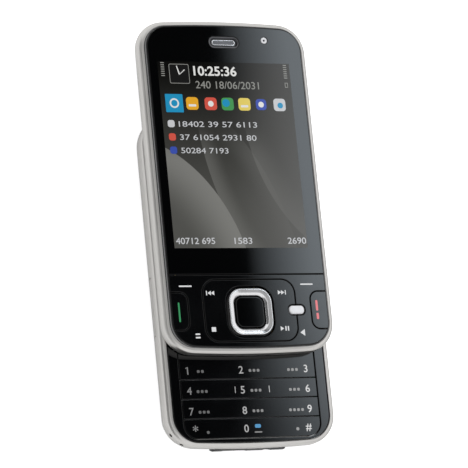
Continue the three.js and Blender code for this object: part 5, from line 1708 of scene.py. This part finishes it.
def make_card(name, stand, strength, colour=(1, 1, 1)):
    """Glowing card that only glosses see, of one strength or of a strength that its own nodes work out."""
    bpy.ops.mesh.primitive_plane_add(size=1.0)
    thing = bpy.context.object
    thing.name = name
    thing.data.transform(stand)
    material = bpy.data.materials.new(name)
    material.use_nodes = True
    tree = material.node_tree
    tree.nodes.clear()
    if callable(strength):
        strength = strength(tree, *axes(tree, place_on(tree)))
    glow = add(tree, "ShaderNodeEmission", {"Color": tone(*colour), "Strength": strength})
    add(tree, "ShaderNodeOutputMaterial", {"Surface": glow.outputs[0]})
    thing.data.materials.append(material)
    for sight in ("camera", "diffuse", "transmission", "volume_scatter", "shadow"):
        setattr(thing, f"visible_{sight}", False)


def overhead_strength(tree, x, y, z):
    """Dark over the left of the phone, bright over its right, with a soft slanting edge."""
    edge = maths(tree, "MULTIPLY_ADD", y, OVERHEAD_SLANT, x)
    fade = maths(tree, "MULTIPLY_ADD", rise_line(tree, y, *OVERHEAD_FADE), 1 - OVERHEAD_FADED, OVERHEAD_FADED)
    level = maths(tree, "MULTIPLY", rise_line(tree, edge, *OVERHEAD_EDGE), fade)
    return maths(tree, "MULTIPLY_ADD", level, OVERHEAD_BRIGHT, OVERHEAD_DARK)


def side_strength(tree, x, y, z):
    return rise(tree, z, *SIDE_FADE)


def flat(x, y, z, width, length, turn=0.0):
    """Stand of a card that lies level, or that is turned up on its side."""
    stand = Matrix.Translation((x, y, z)) @ Matrix.Rotation(turn, 4, "Y")
    return stand @ Matrix.Diagonal((width, length, 1, 1))


def make_lamp(name, place, size, power):
    lamp = bpy.data.lights.new(name, "AREA")
    lamp.shape = "SQUARE"
    lamp.size = size
    lamp.energy = power
    thing = bpy.data.objects.new(name, lamp)
    bpy.context.scene.collection.objects.link(thing)
    thing.location = place
    thing.rotation_euler = Vector(place).to_track_quat("Z", "Y").to_euler()
    thing.visible_glossy = False
    thing.visible_camera = False


CAMERA_PLACE = (-0.35227, -0.19452, 0.80486)
CAMERA_TURN = (14.9546, -22.5999, -5.9508)
CAMERA_LENS = 230.8
CAMERA_SHIFT = -0.0013


def make_camera_view():
    data = bpy.data.cameras.new("view")
    data.lens = CAMERA_LENS
    data.sensor_width = 36.0
    data.shift_x = CAMERA_SHIFT
    thing = bpy.data.objects.new("view", data)
    bpy.context.scene.collection.objects.link(thing)
    thing.location = CAMERA_PLACE
    thing.rotation_euler = [math.radians(turn) for turn in CAMERA_TURN]
    bpy.context.scene.camera = thing


make_world()
make_floor()
make_card("overhead_card", flat(*OVERHEAD_STAND), overhead_strength, OVERHEAD_TONE)
make_card("roof_card", flat(*ROOF_STAND), ROOF_STRENGTH)
make_card("side_card", flat(*SIDE_STAND, turn=math.pi / 2), side_strength)
make_card("floor_card", flat(*FLOOR_CARD_STAND), FLOOR_CARD_STRENGTH)
make_lamp("soft_box", SOFT_BOX_PLACE, SOFT_BOX_SIZE, SOFT_BOX_POWER)
make_camera_view()
bpy.context.scene.view_settings.view_transform = "Standard"
